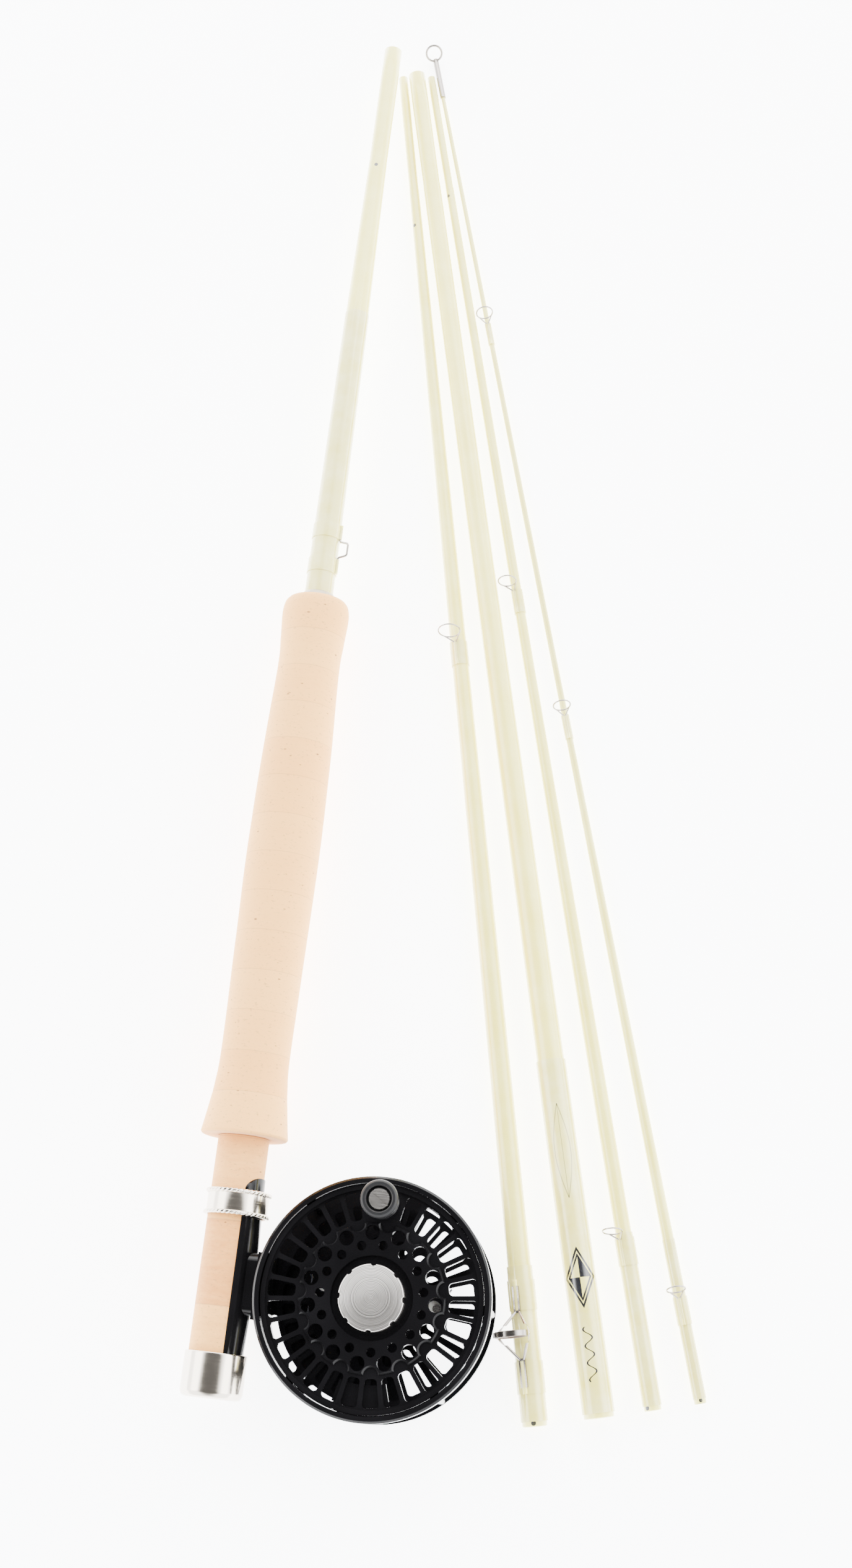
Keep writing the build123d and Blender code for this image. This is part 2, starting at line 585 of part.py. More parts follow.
with BuildPart() as spool:
    # rear flange, with the gear's seat inside it
    with BuildSketch(Plane.XY.offset(REAR_FLANGE_BOTTOM)):
        Circle(SPOOL_REAR_R)
        with PolarLocations(REAR_HOLE_RADIUS, PORT_COUNT):
            Circle(INNER_PORT_R, mode=Mode.SUBTRACT)
    extrude(amount=REAR_FLANGE_TOP - REAR_FLANGE_BOTTOM)
    port_angles = [port * 360 / SPOOL_PORTS for port in range(SPOOL_PORTS)]
    rear_ports = tapered_openings(port_angles, *REAR_PORTS)
    extrude(Pos(0, 0, REAR_FLANGE_BOTTOM) * rear_ports, amount=REAR_FLANGE_TOP - REAR_FLANGE_BOTTOM,
            mode=Mode.SUBTRACT)
    # front flange: an outer band of radial ports round a raised, scalloped middle
    with BuildSketch(Plane.XY.offset(FRONT_FLANGE_BOTTOM)):
        Circle(SPOOL_FRONT_R)
    extrude(amount=SPOOL_FRONT - STEP_DEPTH - FRONT_FLANGE_BOTTOM)
    with BuildSketch(Plane.XY.offset(SPOOL_FRONT - STEP_DEPTH)):
        Circle(SPOOL_FRONT_R)
        Circle(PORT_OUTER + 0.5, mode=Mode.SUBTRACT)
        Circle(STEP_R)
        with PolarLocations(STEP_R, PORT_COUNT, start_angle=12):
            Circle(2.4, mode=Mode.SUBTRACT)
        with Locations(handle_place.origin):
            Circle(HANDLE_PAD_R)
    extrude(amount=STEP_DEPTH)
    raised_middle = spool.faces().group_by(Axis.Z)[-1].sort_by(SortBy.AREA)[-1]
    chamfer(raised_middle.outer_wire().edges(), STEP_CHAMFER)
    front_ports = tapered_openings([angle for angle in port_angles if abs(angle - HANDLE_ANGLE) > 10],
                                   *FRONT_PORTS)
    extrude(Pos(0, 0, FRONT_FLANGE_BOTTOM) * front_ports, amount=SPOOL_FRONT, mode=Mode.SUBTRACT)
    with BuildSketch(Plane.XY.offset(FRONT_FLANGE_BOTTOM)):
        with PolarLocations(INNER_PORT_RADIUS, PORT_COUNT):
            Circle(INNER_PORT_R)
        with PolarLocations(HUB_PORT_RADIUS, PORT_COUNT, start_angle=12):
            Circle(HUB_PORT_R)
    extrude(amount=SPOOL_FRONT, mode=Mode.SUBTRACT)
    # drum, ported between the flanges, and the hub that runs on the bush
    with BuildSketch(Plane.XY.offset(REAR_FLANGE_BOTTOM)):
        Circle(DRUM_R)
        Circle(DRUM_R - DRUM_WALL, mode=Mode.SUBTRACT)
        Circle(BUSH_R + RUNNING + 2.2)
        Circle(BUSH_R + RUNNING, mode=Mode.SUBTRACT)
        with PolarLocations(10, 6):
            Rectangle(6, 1.4)
    extrude(amount=HUB_RECESS_FLOOR - REAR_FLANGE_BOTTOM)
    with BuildSketch(Plane.XY.offset(REAR_FLANGE_BOTTOM)):
        Circle(BUSH_R + RUNNING)
    extrude(amount=SPOOL_FRONT, mode=Mode.SUBTRACT)
    with BuildSketch(Plane.XY.offset(HUB_RECESS_FLOOR)):
        Circle(HUB_RECESS_R)
    extrude(amount=SPOOL_FRONT, mode=Mode.SUBTRACT)
save(spool, "spool")

GEAR_BORE_R = 6.2
TOOTH_DEPTH = 0.9
with BuildPart() as click_gear:
    with BuildSketch(Plane.XY.offset(GEAR_BOTTOM)):
        Circle(GEAR_R - TOOTH_DEPTH)
        with PolarLocations(GEAR_R - TOOTH_DEPTH / 2 - 0.05, GEAR_TEETH, start_angle=180 / GEAR_TEETH):
            Trapezoid(0.8, TOOTH_DEPTH + 0.1, 75, rotation=-90)
        Circle(GEAR_BORE_R, mode=Mode.SUBTRACT)
        with PolarLocations(9.0, 3, start_angle=60):
            Circle(0.95, mode=Mode.SUBTRACT)
    extrude(amount=GEAR_TOP - GEAR_BOTTOM)
    with BuildSketch(Plane.XY.offset(GEAR_TOP)):
        Circle(GEAR_BORE_R + 4.5)
        Circle(GEAR_BORE_R, mode=Mode.SUBTRACT)
        with PolarLocations(9.0, 3, start_angle=60):
            Circle(0.95, mode=Mode.SUBTRACT)
    extrude(amount=REAR_FLANGE_BOTTOM - GEAR_TOP)
save(click_gear, "click_gear")

gear_screws = []
for screw_place in PolarLocations(9.0, 3, start_angle=60):
    with BuildPart() as gear_screw:
        with BuildSketch(Plane(screw_place).offset(GEAR_BOTTOM)):
            Circle(0.9)
            Rectangle(3, 0.3, mode=Mode.SUBTRACT)
        extrude(amount=0.3)
        with BuildSketch(Plane(screw_place).offset(GEAR_BOTTOM + 0.3)):
            Circle(0.9)
        extrude(amount=REAR_FLANGE_BOTTOM - GEAR_BOTTOM - 0.3)
    gear_screws.append(gear_screw)
save_group(gear_screws, "gear_screws")

COUNTERWEIGHT_DEPTH = 1.8
with BuildPart() as counterweight:
    with BuildSketch(Plane.XY.offset(FRONT_FLANGE_BOTTOM - COUNTERWEIGHT_DEPTH)):
        with BuildLine():
            CenterArc((0, 0), 33.4, 254, 32)
            CenterArc((0, 0), 26.5, 254, 32)
            for edge_angle in (254, 286):
                Line(PolarLocations(26.5, 1, start_angle=edge_angle).locations[0].position,
                     PolarLocations(33.4, 1, start_angle=edge_angle).locations[0].position)
        make_face()
    extrude(amount=COUNTERWEIGHT_DEPTH)
save(counterweight, "counterweight")

# ---------------------------------------------------------------- handle
WASHER_TOP = SPOOL_FRONT + 0.4
KNOB_BOTTOM = WASHER_TOP + 0.08
KNOB_TOP = KNOB_BOTTOM + 11.0
KNOB_FLOOR = KNOB_TOP - 2.6
POST_R = 1.9
HANDLE_HEAD_R = 3.4
with BuildPart() as handle_screw:
    with BuildSketch(handle_place.offset(SPOOL_FRONT)):
        Circle(POST_R)
    extrude(amount=KNOB_FLOOR + 0.1 - SPOOL_FRONT)
    with BuildSketch(handle_place.offset(KNOB_FLOOR + 0.1)):
        Circle(HANDLE_HEAD_R)
    extrude(amount=1.5)
    with BuildSketch(handle_place.offset(KNOB_FLOOR + 1.1)):
        Rectangle(0.55, 8, rotation=-32)
    extrude(amount=1, mode=Mode.SUBTRACT)
    chamfer(handle_screw.faces().sort_by(Axis.Z)[-2:].edges().filter_by(GeomType.CIRCLE), 0.15)
save(handle_screw, "handle_screw")

with BuildPart() as handle_washer:
    with BuildSketch(handle_place.offset(SPOOL_FRONT)):
        Circle(3.6)
        Circle(POST_R, mode=Mode.SUBTRACT)
    extrude(amount=WASHER_TOP - SPOOL_FRONT)
save(handle_washer, "handle_washer")

knob_profile = Plane(origin=handle_place.origin, x_dir=(1, 0, 0), z_dir=(0, -1, 0))
with BuildPart() as handle_knob:
    with BuildSketch(knob_profile):
        with BuildLine():
            Line((POST_R + RUNNING, KNOB_BOTTOM), (4.9, KNOB_BOTTOM))
            Spline((4.9, KNOB_BOTTOM), (5.45, KNOB_BOTTOM + 0.9), (4.95, KNOB_BOTTOM + 4.2),
                   (5.3, KNOB_BOTTOM + 7.2), (6.05, KNOB_TOP - 1.2), (5.2, KNOB_TOP))
            Polyline((5.2, KNOB_TOP), (4.45, KNOB_TOP), (4.1, KNOB_TOP - 0.5), (4.1, KNOB_FLOOR),
                     (POST_R + RUNNING, KNOB_FLOOR), (POST_R + RUNNING, KNOB_BOTTOM))
        make_face()
    revolve(axis=Axis(handle_place.origin, (0, 0, 1)))
save(handle_knob, "handle_knob")

# ---------------------------------------------------------------- hub cap
CAP_BOTTOM = HUB_RECESS_FLOOR + 0.2
CAP_TOP = 27.6
CAP_BITES = 8
CAP_BITE_R = 1.1
O_RING_R = 4.3
with BuildPart() as hub_cap:
    with BuildSketch(Plane.XY.offset(CAP_BOTTOM)):
        Circle(HUB_CAP_R)
        with PolarLocations(HUB_CAP_R + 0.5, CAP_BITES, start_angle=2):
            Circle(CAP_BITE_R, mode=Mode.SUBTRACT)
    extrude(amount=CAP_TOP - CAP_BOTTOM)
    chamfer(hub_cap.faces().sort_by(Axis.Z)[-1].edges(), 0.25)
    with BuildSketch(Plane.XY.offset(BUSH_TOP + 0.1)):
        Circle(BUSH_R - 0.02)
    extrude(amount=CAP_BOTTOM - BUSH_TOP - 0.1)
    with BuildSketch(Plane.XY.offset(BUSH_TOP + 0.9)):
        Circle(BUSH_R)
        Circle(O_RING_R, mode=Mode.SUBTRACT)
    extrude(amount=1.1, mode=Mode.SUBTRACT)
save(hub_cap, "hub_cap")

with BuildPart() as cap_o_ring:
    with Locations((0, 0, BUSH_TOP + 1.45)):
        Torus(O_RING_R + 0.34, 0.33)
save(cap_o_ring, "cap_o_ring")

# ---------------------------------------------------------------- line guides
GUIDE_LEAN = 15.0             # the rings lean towards the tip end
GUIDE_WIRE = 0.24
GUIDE_FOOT_LENGTH = 6.6
GUIDE_FOOT_WIDTH = 0.9
GUIDE_FOOT_HEIGHT = 0.45


def single_foot_guide(line, base, station, roll, ring_r):
    """Wire ring on a pinched neck whose flat foot points to the lower end."""
    here = line.across(station, roll)
    out, along, side = here.x_dir, here.z_dir, here.y_dir
    lean = radians(GUIDE_LEAN)
    ring_up = out * cos(lean) + along * sin(lean)
    centre = here.origin + out * (base + 1.2 + ring_r)
    foot_top = here.origin + out * (base + 0.03 + GUIDE_FOOT_HEIGHT / 2) - along * 2.4
    with BuildPart() as guide:
        with BuildSketch(Plane(origin=foot_top, x_dir=out, z_dir=-along)):
            Rectangle(GUIDE_FOOT_HEIGHT, GUIDE_FOOT_WIDTH)
        extrude(amount=GUIDE_FOOT_LENGTH)
        ring_wire(Plane(origin=centre, x_dir=ring_up, z_dir=along * cos(lean) - out * sin(lean)),
                  ring_r - GUIDE_WIRE, GUIDE_WIRE)
        for hand in (-1, 1):
            heel = foot_top + side * (hand * (GUIDE_FOOT_WIDTH / 2 - GUIDE_WIRE)) - along * 0.3
            spread = radians(48)
            touch = centre + (side * (hand * sin(spread)) - ring_up * cos(spread)) * (ring_r - GUIDE_WIRE)
            bar(heel, touch, GUIDE_WIRE)
    return guide


def guide_set(line, surface, name, guides):
    """Write each guide and the wrap over its foot as nodes of their own."""
    for number, (station, roll, ring_r, wrapped) in enumerate(guides, 1):
        foot_start = station - 2.4 - GUIDE_FOOT_LENGTH
        local = [(r + wrapped, s) for r, s in surface]
        base = interpolate(local, foot_start)
        guide = single_foot_guide(line, base, station, roll, ring_r)
        save(guide, f"{name}_guide_{number}")
        wrap = foot_wrap(line, local, foot_start - 2, station - 2.0, roll, guide, GUIDE_FOOT_HEIGHT)
        save(wrap, f"{name}_guide_{number}_wrap")


guide_set(third_line, third_surface, "third", [(271.0, 18, 4.1, 0)])
guide_set(fourth_line, fourth_surface, "fourth", [(56.5, 28, 3.4, 0.32), (287.7, 26, 3.4, 0)])
guide_set(tip_line, tip_surface, "tip", [(35.6, 8, 3.25, 0.17), (238.1, 6, 3.25, 0), (397.1, 6, 3.25, 0)])

# ---------------------------------------------------------------- stripping guide
STRIPPER_STATION = 28.3
STRIPPER_ROLL = 22
STRIPPER_R = 5.9
STRIPPER_LENGTH = 2.0
STRIPPER_RING_R = 5.3
STRIPPER_BORE_R = 4.5
STRIPPER_WIRE = 0.45
STRIPPER_FEET = ((12.0, 20.9), (35.1, 43.5))
third_wrapped = [(r + 0.38, s) for r, s in third_surface]
stripper_base = interpolate(third_wrapped, 5.0)
stripper_here = third_line.across(STRIPPER_STATION, STRIPPER_ROLL)
stripper_centre = stripper_here.origin + stripper_here.x_dir * (stripper_base + 1.1 + STRIPPER_R)
stripper_plane = Plane(origin=stripper_centre - stripper_here.z_dir * (STRIPPER_LENGTH / 2),
                       x_dir=stripper_here.x_dir, z_dir=stripper_here.z_dir)

with BuildPart() as stripper_ring:
    with BuildSketch(stripper_plane):
        Circle(STRIPPER_RING_R)
        Circle(STRIPPER_BORE_R, mode=Mode.SUBTRACT)
    extrude(amount=STRIPPER_LENGTH)
    fillet(stripper_ring.edges().filter_by(GeomType.CIRCLE), 0.3)
save(stripper_ring, "stripping_guide_ring")

with BuildPart() as stripper_frame:
    with BuildSketch(stripper_plane.offset(0.2)):
        Circle(STRIPPER_R)
        Circle(STRIPPER_RING_R, mode=Mode.SUBTRACT)
    extrude(amount=STRIPPER_LENGTH - 0.4)
    for foot_start, foot_end in STRIPPER_FEET:
        foot_plane = third_line.across(foot_start, STRIPPER_ROLL)
        foot_lift = stripper_base + 0.03 + STRIPPER_WIRE
        inner_end, outward = (foot_end, -1) if foot_start < STRIPPER_STATION else (foot_start, 1)
        with BuildSketch(foot_plane):
            with Locations((foot_lift, 0)):
                Rectangle(2 * STRIPPER_WIRE, 2.2)
        extrude(amount=foot_end - foot_start)
        heel_plane = third_line.across(inner_end + outward * 0.4, STRIPPER_ROLL)
        for hand in (-1, 1):
            heel = heel_plane.origin + heel_plane.x_dir * foot_lift + heel_plane.y_dir * (hand * 0.6)
            spread = radians(78)
            reach = STRIPPER_R - 0.25
            touch = (stripper_centre + stripper_here.y_dir * (hand * sin(spread) * reach)
                     - stripper_here.x_dir * (cos(spread) * reach) + stripper_here.z_dir * (outward * 0.35))
            bar(heel, touch, STRIPPER_WIRE)
    with BuildSketch(stripper_plane.offset(-2)):
        Circle(STRIPPER_RING_R)
    extrude(amount=STRIPPER_LENGTH + 4, mode=Mode.SUBTRACT)
save(stripper_frame, "stripping_guide_frame")

stripper_wraps = [foot_wrap(third_line, third_wrapped, start, end, STRIPPER_ROLL, stripper_frame,
                            2 * STRIPPER_WIRE, 0.3)
                  for start, end in ((STRIPPER_FEET[0][0] - 2, STRIPPER_FEET[0][1] - 0.8),
                                     (STRIPPER_FEET[1][0] + 0.8, STRIPPER_FEET[1][1] + 2))]
save_group(stripper_wraps, "stripping_guide_wraps")

# ---------------------------------------------------------------- tip-top
TUBE_START = 497.2
TUBE_R = 1.07
LOOP_R = 3.4
LOOP_WIRE = 0.42
LOOP_LEAN = 38
loop_here = tip_line.across(TIP_TOP_END - 0.8, 4)
loop_lean = radians(LOOP_LEAN)
loop_up = loop_here.x_dir * cos(loop_lean) + loop_here.z_dir * sin(loop_lean)
loop_normal = loop_here.z_dir * cos(loop_lean) - loop_here.x_dir * sin(loop_lean)
with BuildPart() as tip_top:
    with BuildSketch(tip_line.across(TUBE_START)):
        Circle(TUBE_R)
        Circle(interpolate(tip_surface, TUBE_START) + 0.02, mode=Mode.SUBTRACT)
    extrude(amount=TIP_LENGTH - TUBE_START)
    with BuildSketch(tip_line.across(TIP_LENGTH)):
        Circle(TUBE_R)
    extrude(amount=TIP_TOP_END - TIP_LENGTH)
    ring_wire(Plane(origin=loop_here.origin + loop_up * LOOP_R, x_dir=loop_up, z_dir=loop_normal),
              LOOP_R - LOOP_WIRE, LOOP_WIRE)
save(tip_top, "tip_top")
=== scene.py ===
"""Finishes and fine surfaces for a five-piece glass-fibre fly rod and its click-pawl reel.

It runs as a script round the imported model.  The file has the form of a Blender add-on: sizes and
colours are properties, and each group of pieces has an operator of its own.
"""
import json
from math import pi, radians

import bpy
import numpy as np
from bpy.props import FloatProperty, FloatVectorProperty, IntProperty, PointerProperty
from mathutils import Euler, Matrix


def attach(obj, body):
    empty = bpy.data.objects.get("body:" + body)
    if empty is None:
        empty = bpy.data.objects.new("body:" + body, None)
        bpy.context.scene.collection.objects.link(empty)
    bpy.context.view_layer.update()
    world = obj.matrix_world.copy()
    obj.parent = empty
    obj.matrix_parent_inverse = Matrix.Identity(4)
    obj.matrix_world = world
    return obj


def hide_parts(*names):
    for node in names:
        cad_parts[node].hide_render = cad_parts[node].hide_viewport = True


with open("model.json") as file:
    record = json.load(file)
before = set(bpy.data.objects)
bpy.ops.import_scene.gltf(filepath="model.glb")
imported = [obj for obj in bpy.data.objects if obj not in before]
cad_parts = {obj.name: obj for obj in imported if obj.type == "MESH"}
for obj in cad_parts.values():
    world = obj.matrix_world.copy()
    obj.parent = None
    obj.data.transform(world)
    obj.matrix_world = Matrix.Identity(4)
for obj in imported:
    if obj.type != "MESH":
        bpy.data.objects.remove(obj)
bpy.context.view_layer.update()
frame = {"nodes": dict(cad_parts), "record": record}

bl_info = {
    "name": "Fly Rod and Reel Finishes",
    "version": (1, 0, 0),
    "blender": (4, 5, 0),
    "location": "3D View > Sidebar > Fly Rod",
    "description": "Makes the fine surfaces and the finishes of a fly rod and its reel",
    "category": "Object",
}

MM = 0.001
ROUND_STEPS = 64
WELD_DISTANCE = 0.001 * MM
BEVEL_ANGLE = radians(38)
SHARP_ANGLE = radians(32)


# ---------------------------------------------------------------- section lines
class SectionLine:
    """Axis of a rod section: a point at its lower end and unit vectors along, up and left."""

    def __init__(self, mount, station, flip):
        along = np.array(mount["axis"], float) * (-1.0 if flip else 1.0)
        self.along = along / np.linalg.norm(along)
        self.lower = np.array(mount["pos_m"], float) - self.along * station
        up = np.array((0.0, 0.0, 1.0)) - self.along * self.along[2]
        self.up = up / np.linalg.norm(up)
        self.left = np.cross(self.up, self.along)

    def shifted(self, offset):
        """The same line moved sideways."""
        line = SectionLine.__new__(SectionLine)
        line.along, line.up, line.left = self.along, self.up, self.left
        line.lower = self.lower + np.array(offset, float)
        return line

    def outward(self, roll):
        """Unit vector away from the axis, rolled from up towards the left by an angle in degrees."""
        return self.up * np.cos(radians(roll)) + self.left * np.sin(radians(roll))

    def at(self, station):
        """Point on the axis at a station in metres."""
        return self.lower + self.along * station


def section_lines():
    """Lines of the five sections, read from the record's ferrule mounts."""
    mounts = {mount["name"]: mount for mount in frame["record"]["mounts"]}
    lines = {name: SectionLine(mounts[name + "_socket"], 26 * MM, True)
             for name in ("second", "third", "fourth", "tip")}
    lines["butt"] = SectionLine(mounts["butt_ferrule"], 480 * MM, False)
    return lines


LINES = section_lines()

# outer radius and station of each blank, mm
BLANKS = {
    "butt": [(5.45, 2), (5.3, 83.2), (4.95, 273.7), (4.27, 389.4), (3.45, 453), (3.38, 455), (3.38, 505)],
    "second": [(4.85, 0), (4.8, 57), (4.6, 115), (4.05, 254), (3.32, 456), (3.22, 458), (3.22, 508)],
    "third": [(4.0, 0), (3.85, 50), (3.0, 254), (1.88, 457), (1.78, 459), (1.78, 509)],
    "fourth": [(2.78, 0), (2.6, 94), (1.9, 254), (1.56, 455), (1.48, 457), (1.48, 507)],
    "tip": [(1.98, 0), (1.92, 52), (1.12, 250), (0.93, 400), (0.75, 505)],
}
SOCKETS = {"butt": (4.1, 2), "second": (3.41, 52), "third": (3.25, 52), "fourth": (1.81, 52),
           "tip": (1.51, 52)}
BODIES = {"butt": "butt_section", "second": "second_section", "third": "third_section",
          "fourth": "fourth_section", "tip": "tip_section"}
GRIP_START = 83.2
GRIP_END = 273.7
GRIP_PITCH = (GRIP_END - GRIP_START) / 14
GRIP_PROFILE = [(14.5, 83.9), (13.85, 88), (13.1, 93), (12.2, 100), (11.6, 112), (12.1, 150), (12.5, 182),
                (12.0, 216), (10.9, 248), (11.3, 259), (11.85, 268), (11.4, 272), (10.4, 273.7)]


def radius_at(points, station):
    """Radius on a list of (radius, station) points, by straight lines between them."""
    table = np.array(points, float)
    return np.interp(station, table[:, 1], table[:, 0])


# ---------------------------------------------------------------- meshes
class Shell:
    """Collects grids of points and makes one mesh of them."""

    def __init__(self):
        self.points = []
        self.stations = []
        self.quads = []
        self.count = 0

    def grid(self, points, stations=None, closed=False):
        """Add a grid of shape (rows, columns, 3) that is closed across its columns.

        Rows follow the profile or path.  A closed grid joins its last row to its first, and an
        open one ends in rows that its caller has drawn together to a point.
        """
        rows, columns = points.shape[:2]
        row = np.arange(rows if closed else rows - 1)[:, None]
        column = np.arange(columns)[None, :]
        after = (row + 1) % rows
        beside = (column + 1) % columns
        quads = np.stack([row * columns + column, row * columns + beside,
                          after * columns + beside, after * columns + column], axis=-1).reshape(-1, 4)
        flat = points.reshape(-1, 3)
        if signed_volume(flat, quads) < 0:
            quads = quads[:, ::-1]
        if stations is None:
            stations = np.zeros(rows)
        self.points.append(flat)
        self.stations.append(np.repeat(stations, columns))
        self.quads.append(quads + self.count)
        self.count += len(flat)
        return self

    def build(self, name, finish, body, slot, replaced=(), smooth=True):
        """Make the object, give it its finish, and hang it on its body."""
        points = np.concatenate(self.points)
        quads = np.concatenate(self.quads)
        mesh = bpy.data.meshes.new(name)
        mesh.from_pydata(points.tolist(), [], quads.tolist())
        station = mesh.attributes.new("station", "FLOAT", "POINT")
        station.data.foreach_set("value", np.concatenate(self.stations).astype(np.float32))
        mesh.polygons.foreach_set("use_smooth", np.full(len(quads), smooth))
        mesh.materials.append(finish)
        mesh.update()
        piece = bpy.data.objects.new(name, mesh)
        bpy.context.scene.collection.objects.link(piece)
        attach(piece, body)
        if replaced:
            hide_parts(*replaced)
        return piece


def signed_volume(points, quads):
    """Volume inside a closed mesh of quads: a sixth of the sum of the corner triple products."""
    a, b, c, d = (points[quads[:, i]] for i in range(4))
    first = np.einsum("ij,ij->i", a, np.cross(b, c))
    second = np.einsum("ij,ij->i", a, np.cross(c, d))
    return (first + second).sum() / 6


def rounded(points, radius, steps=4):
    """Profile with its corners rounded: each corner becomes a quadratic curve between its sides.

    The curve starts and ends at the given distance from the corner, or at a third of a short side.
    """
    corners = np.array(points, float)
    before = np.roll(corners, 1, axis=0) - corners
    after = np.roll(corners, -1, axis=0) - corners
    back = np.linalg.norm(before, axis=1, keepdims=True)
    ahead = np.linalg.norm(after, axis=1, keepdims=True)
    start = corners + before / back * np.minimum(radius, back / 3)
    end = corners + after / ahead * np.minimum(radius, ahead / 3)
    t = np.linspace(0, 1, steps)[None, :, None]
    curve = (1 - t) ** 2 * start[:, None] + 2 * t * (1 - t) * corners[:, None] + t ** 2 * end[:, None]
    return curve.reshape(-1, 2)


def spline_points(points, count):
    """Smooth curve through points: cubic pieces whose slopes are those of the two neighbours."""
    knots = np.array(points, float)
    slope = np.gradient(knots, axis=0)
    where = np.linspace(0, len(knots) - 1, count)
    index = np.minimum(where.astype(int), len(knots) - 2)
    t = (where - index)[:, None]
    a, b = knots[index], knots[index + 1]
    m, n = slope[index], slope[index + 1]
    return ((2 * t ** 3 - 3 * t ** 2 + 1) * a + (t ** 3 - 2 * t ** 2 + t) * m
            + (3 * t ** 2 - 2 * t ** 3) * b + (t ** 3 - t ** 2) * n)


def turned(line, profile, steps=ROUND_STEPS, ripple=None):
    """Grid of a turned shape: point = axis at station + radius x (cos a up + sin a left).

    The profile is (radius, station) in mm.  ripple(radius, station, angle) may change the radius.
    """
    profile = np.array(profile, float)
    angle = np.linspace(0, 2 * pi, steps, endpoint=False)
    radius = np.repeat(profile[:, :1], steps, axis=1)
    station = np.repeat(profile[:, 1:], steps, axis=1)
    if ripple is not None:
        radius = ripple(radius, station, angle[None, :])
    outward = np.cos(angle)[:, None] * line.up + np.sin(angle)[:, None] * line.left
    points = (line.lower + station[:, :, None] * MM * line.along + radius[:, :, None] * MM * outward[None])
    return points, profile[:, 1] * MM


# ---------------------------------------------------------------- materials
class Signal:
    """A shader socket that can stand in Python expressions; each operation adds a Math node."""

    def __init__(self, tree, socket):
        self.tree = tree
        self.socket = socket

    def math(self, operation, *others):
        node = self.tree.nodes.new("ShaderNodeMath")
        node.operation = operation
        for slot, value in zip(node.inputs, (self, *others)):
            if isinstance(value, Signal):
                self.tree.links.new(value.socket, slot)
            else:
                slot.default_value = value
        return Signal(self.tree, node.outputs[0])

    def flipped(self, operation, other):
        node = self.tree.nodes.new("ShaderNodeMath")
        node.operation = operation
        node.inputs[0].default_value = other
        self.tree.links.new(self.socket, node.inputs[1])
        return Signal(self.tree, node.outputs[0])

    def __add__(self, other):
        return self.math("ADD", other)

    def __sub__(self, other):
        return self.math("SUBTRACT", other)

    def __mul__(self, other):
        return self.math("MULTIPLY", other)

    def __truediv__(self, other):
        return self.math("DIVIDE", other)

    def __lt__(self, other):
        return self.math("LESS_THAN", other)

    def __gt__(self, other):
        return self.math("GREATER_THAN", other)

    def __abs__(self):
        return self.math("ABSOLUTE")

    def __rsub__(self, other):
        return self.flipped("SUBTRACT", other)

    __radd__ = __add__
    __rmul__ = __mul__


class Finish:
    """One material: a Principled shader, and a method that adds any other node."""

    def __init__(self, name, **settings):
        self.material = bpy.data.materials.new(name)
        self.material.use_nodes = True
        self.tree = self.material.node_tree
        self.shader = self.tree.nodes["Principled BSDF"]
        for socket, value in settings.items():
            self.set(socket.replace("_", " "), value)

    def set(self, socket, value):
        """Give a socket of the shader a value or a link."""
        slot = self.shader.inputs[socket]
        if isinstance(value, Signal):
            self.tree.links.new(value.socket, slot)
        elif slot.type == "RGBA":
            slot.default_value = (*value[:3], 1.0)
        else:
            slot.default_value = value

    def node(self, kind, settings=None, output=0, **sockets):
        """Add a node of a type, with its settings first and then its sockets' values or links."""
        node = self.tree.nodes.new("ShaderNode" + kind)
        for setting, value in (settings or {}).items():
            setattr(node, setting, value)
        for socket, value in sockets.items():
            found = [s for s in node.inputs if s.name.replace(" ", "_") == socket and s.enabled]
            slot = found[0] if found else node.inputs[int(socket.strip("_"))]
            if isinstance(value, Signal):
                self.tree.links.new(value.socket, slot)
            else:
                slot.default_value = value
        return Signal(self.tree, node.outputs[output])

    def position(self):
        """Object coordinates, in metres."""
        return self.node("TexCoord", output="Object")

    def station(self):
        """Distance along the section that the mesh carries, in metres."""
        return self.node("Attribute", {"attribute_name": "station"}, output="Fac")

    def along(self, direction, origin):
        """Distance of the surface from a point along a direction, in metres."""
        away = self.node("VectorMath", {"operation": "SUBTRACT"}, _0=self.position(), _1=tuple(origin))
        return self.node("VectorMath", {"operation": "DOT_PRODUCT"}, output="Value", _0=away,
                         _1=tuple(direction))

    def near(self, point, radius):
        """1 within a radius of a point, else 0."""
        gap = self.node("VectorMath", {"operation": "DISTANCE"}, output="Value",
                        _0=self.position(), _1=tuple(point))
        return gap < radius

    def noise(self, scale, detail=2.0, vector=None):
        """Noise from 0 to 1 whose features are about 1 / scale metres."""
        return self.node("TexNoise", output="Fac", Vector=vector or self.position(), Scale=scale,
                         Detail=detail)

    def stretched(self, x, y, z):
        """Object coordinates scaled along each axis."""
        return self.node("Mapping", Vector=self.position(), Scale=(x, y, z))

    def mix(self, share, low, high):
        """Colour between two colours by a share."""
        node = self.tree.nodes.new("ShaderNodeMix")
        node.data_type = "RGBA"
        for slot, value in ((node.inputs[0], share), (node.inputs[6], low), (node.inputs[7], high)):
            if isinstance(value, Signal):
                self.tree.links.new(value.socket, slot)
            elif slot.type == "RGBA":
                slot.default_value = (*value[:3], 1.0)
            else:
                slot.default_value = value
        return Signal(self.tree, node.outputs[2])

    def ramp(self, share, low, high):
        """Share that goes from 0 at low to 1 at high, held outside."""
        return self.node("MapRange", Value=share, From_Min=low, From_Max=high)

    def bump(self, height, distance, strength=1.0):
        """Give the shader's normal a bump of a height signal."""
        normal = self.node("Bump", Height=height, Distance=distance, Strength=strength)
        self.set("Normal", normal)


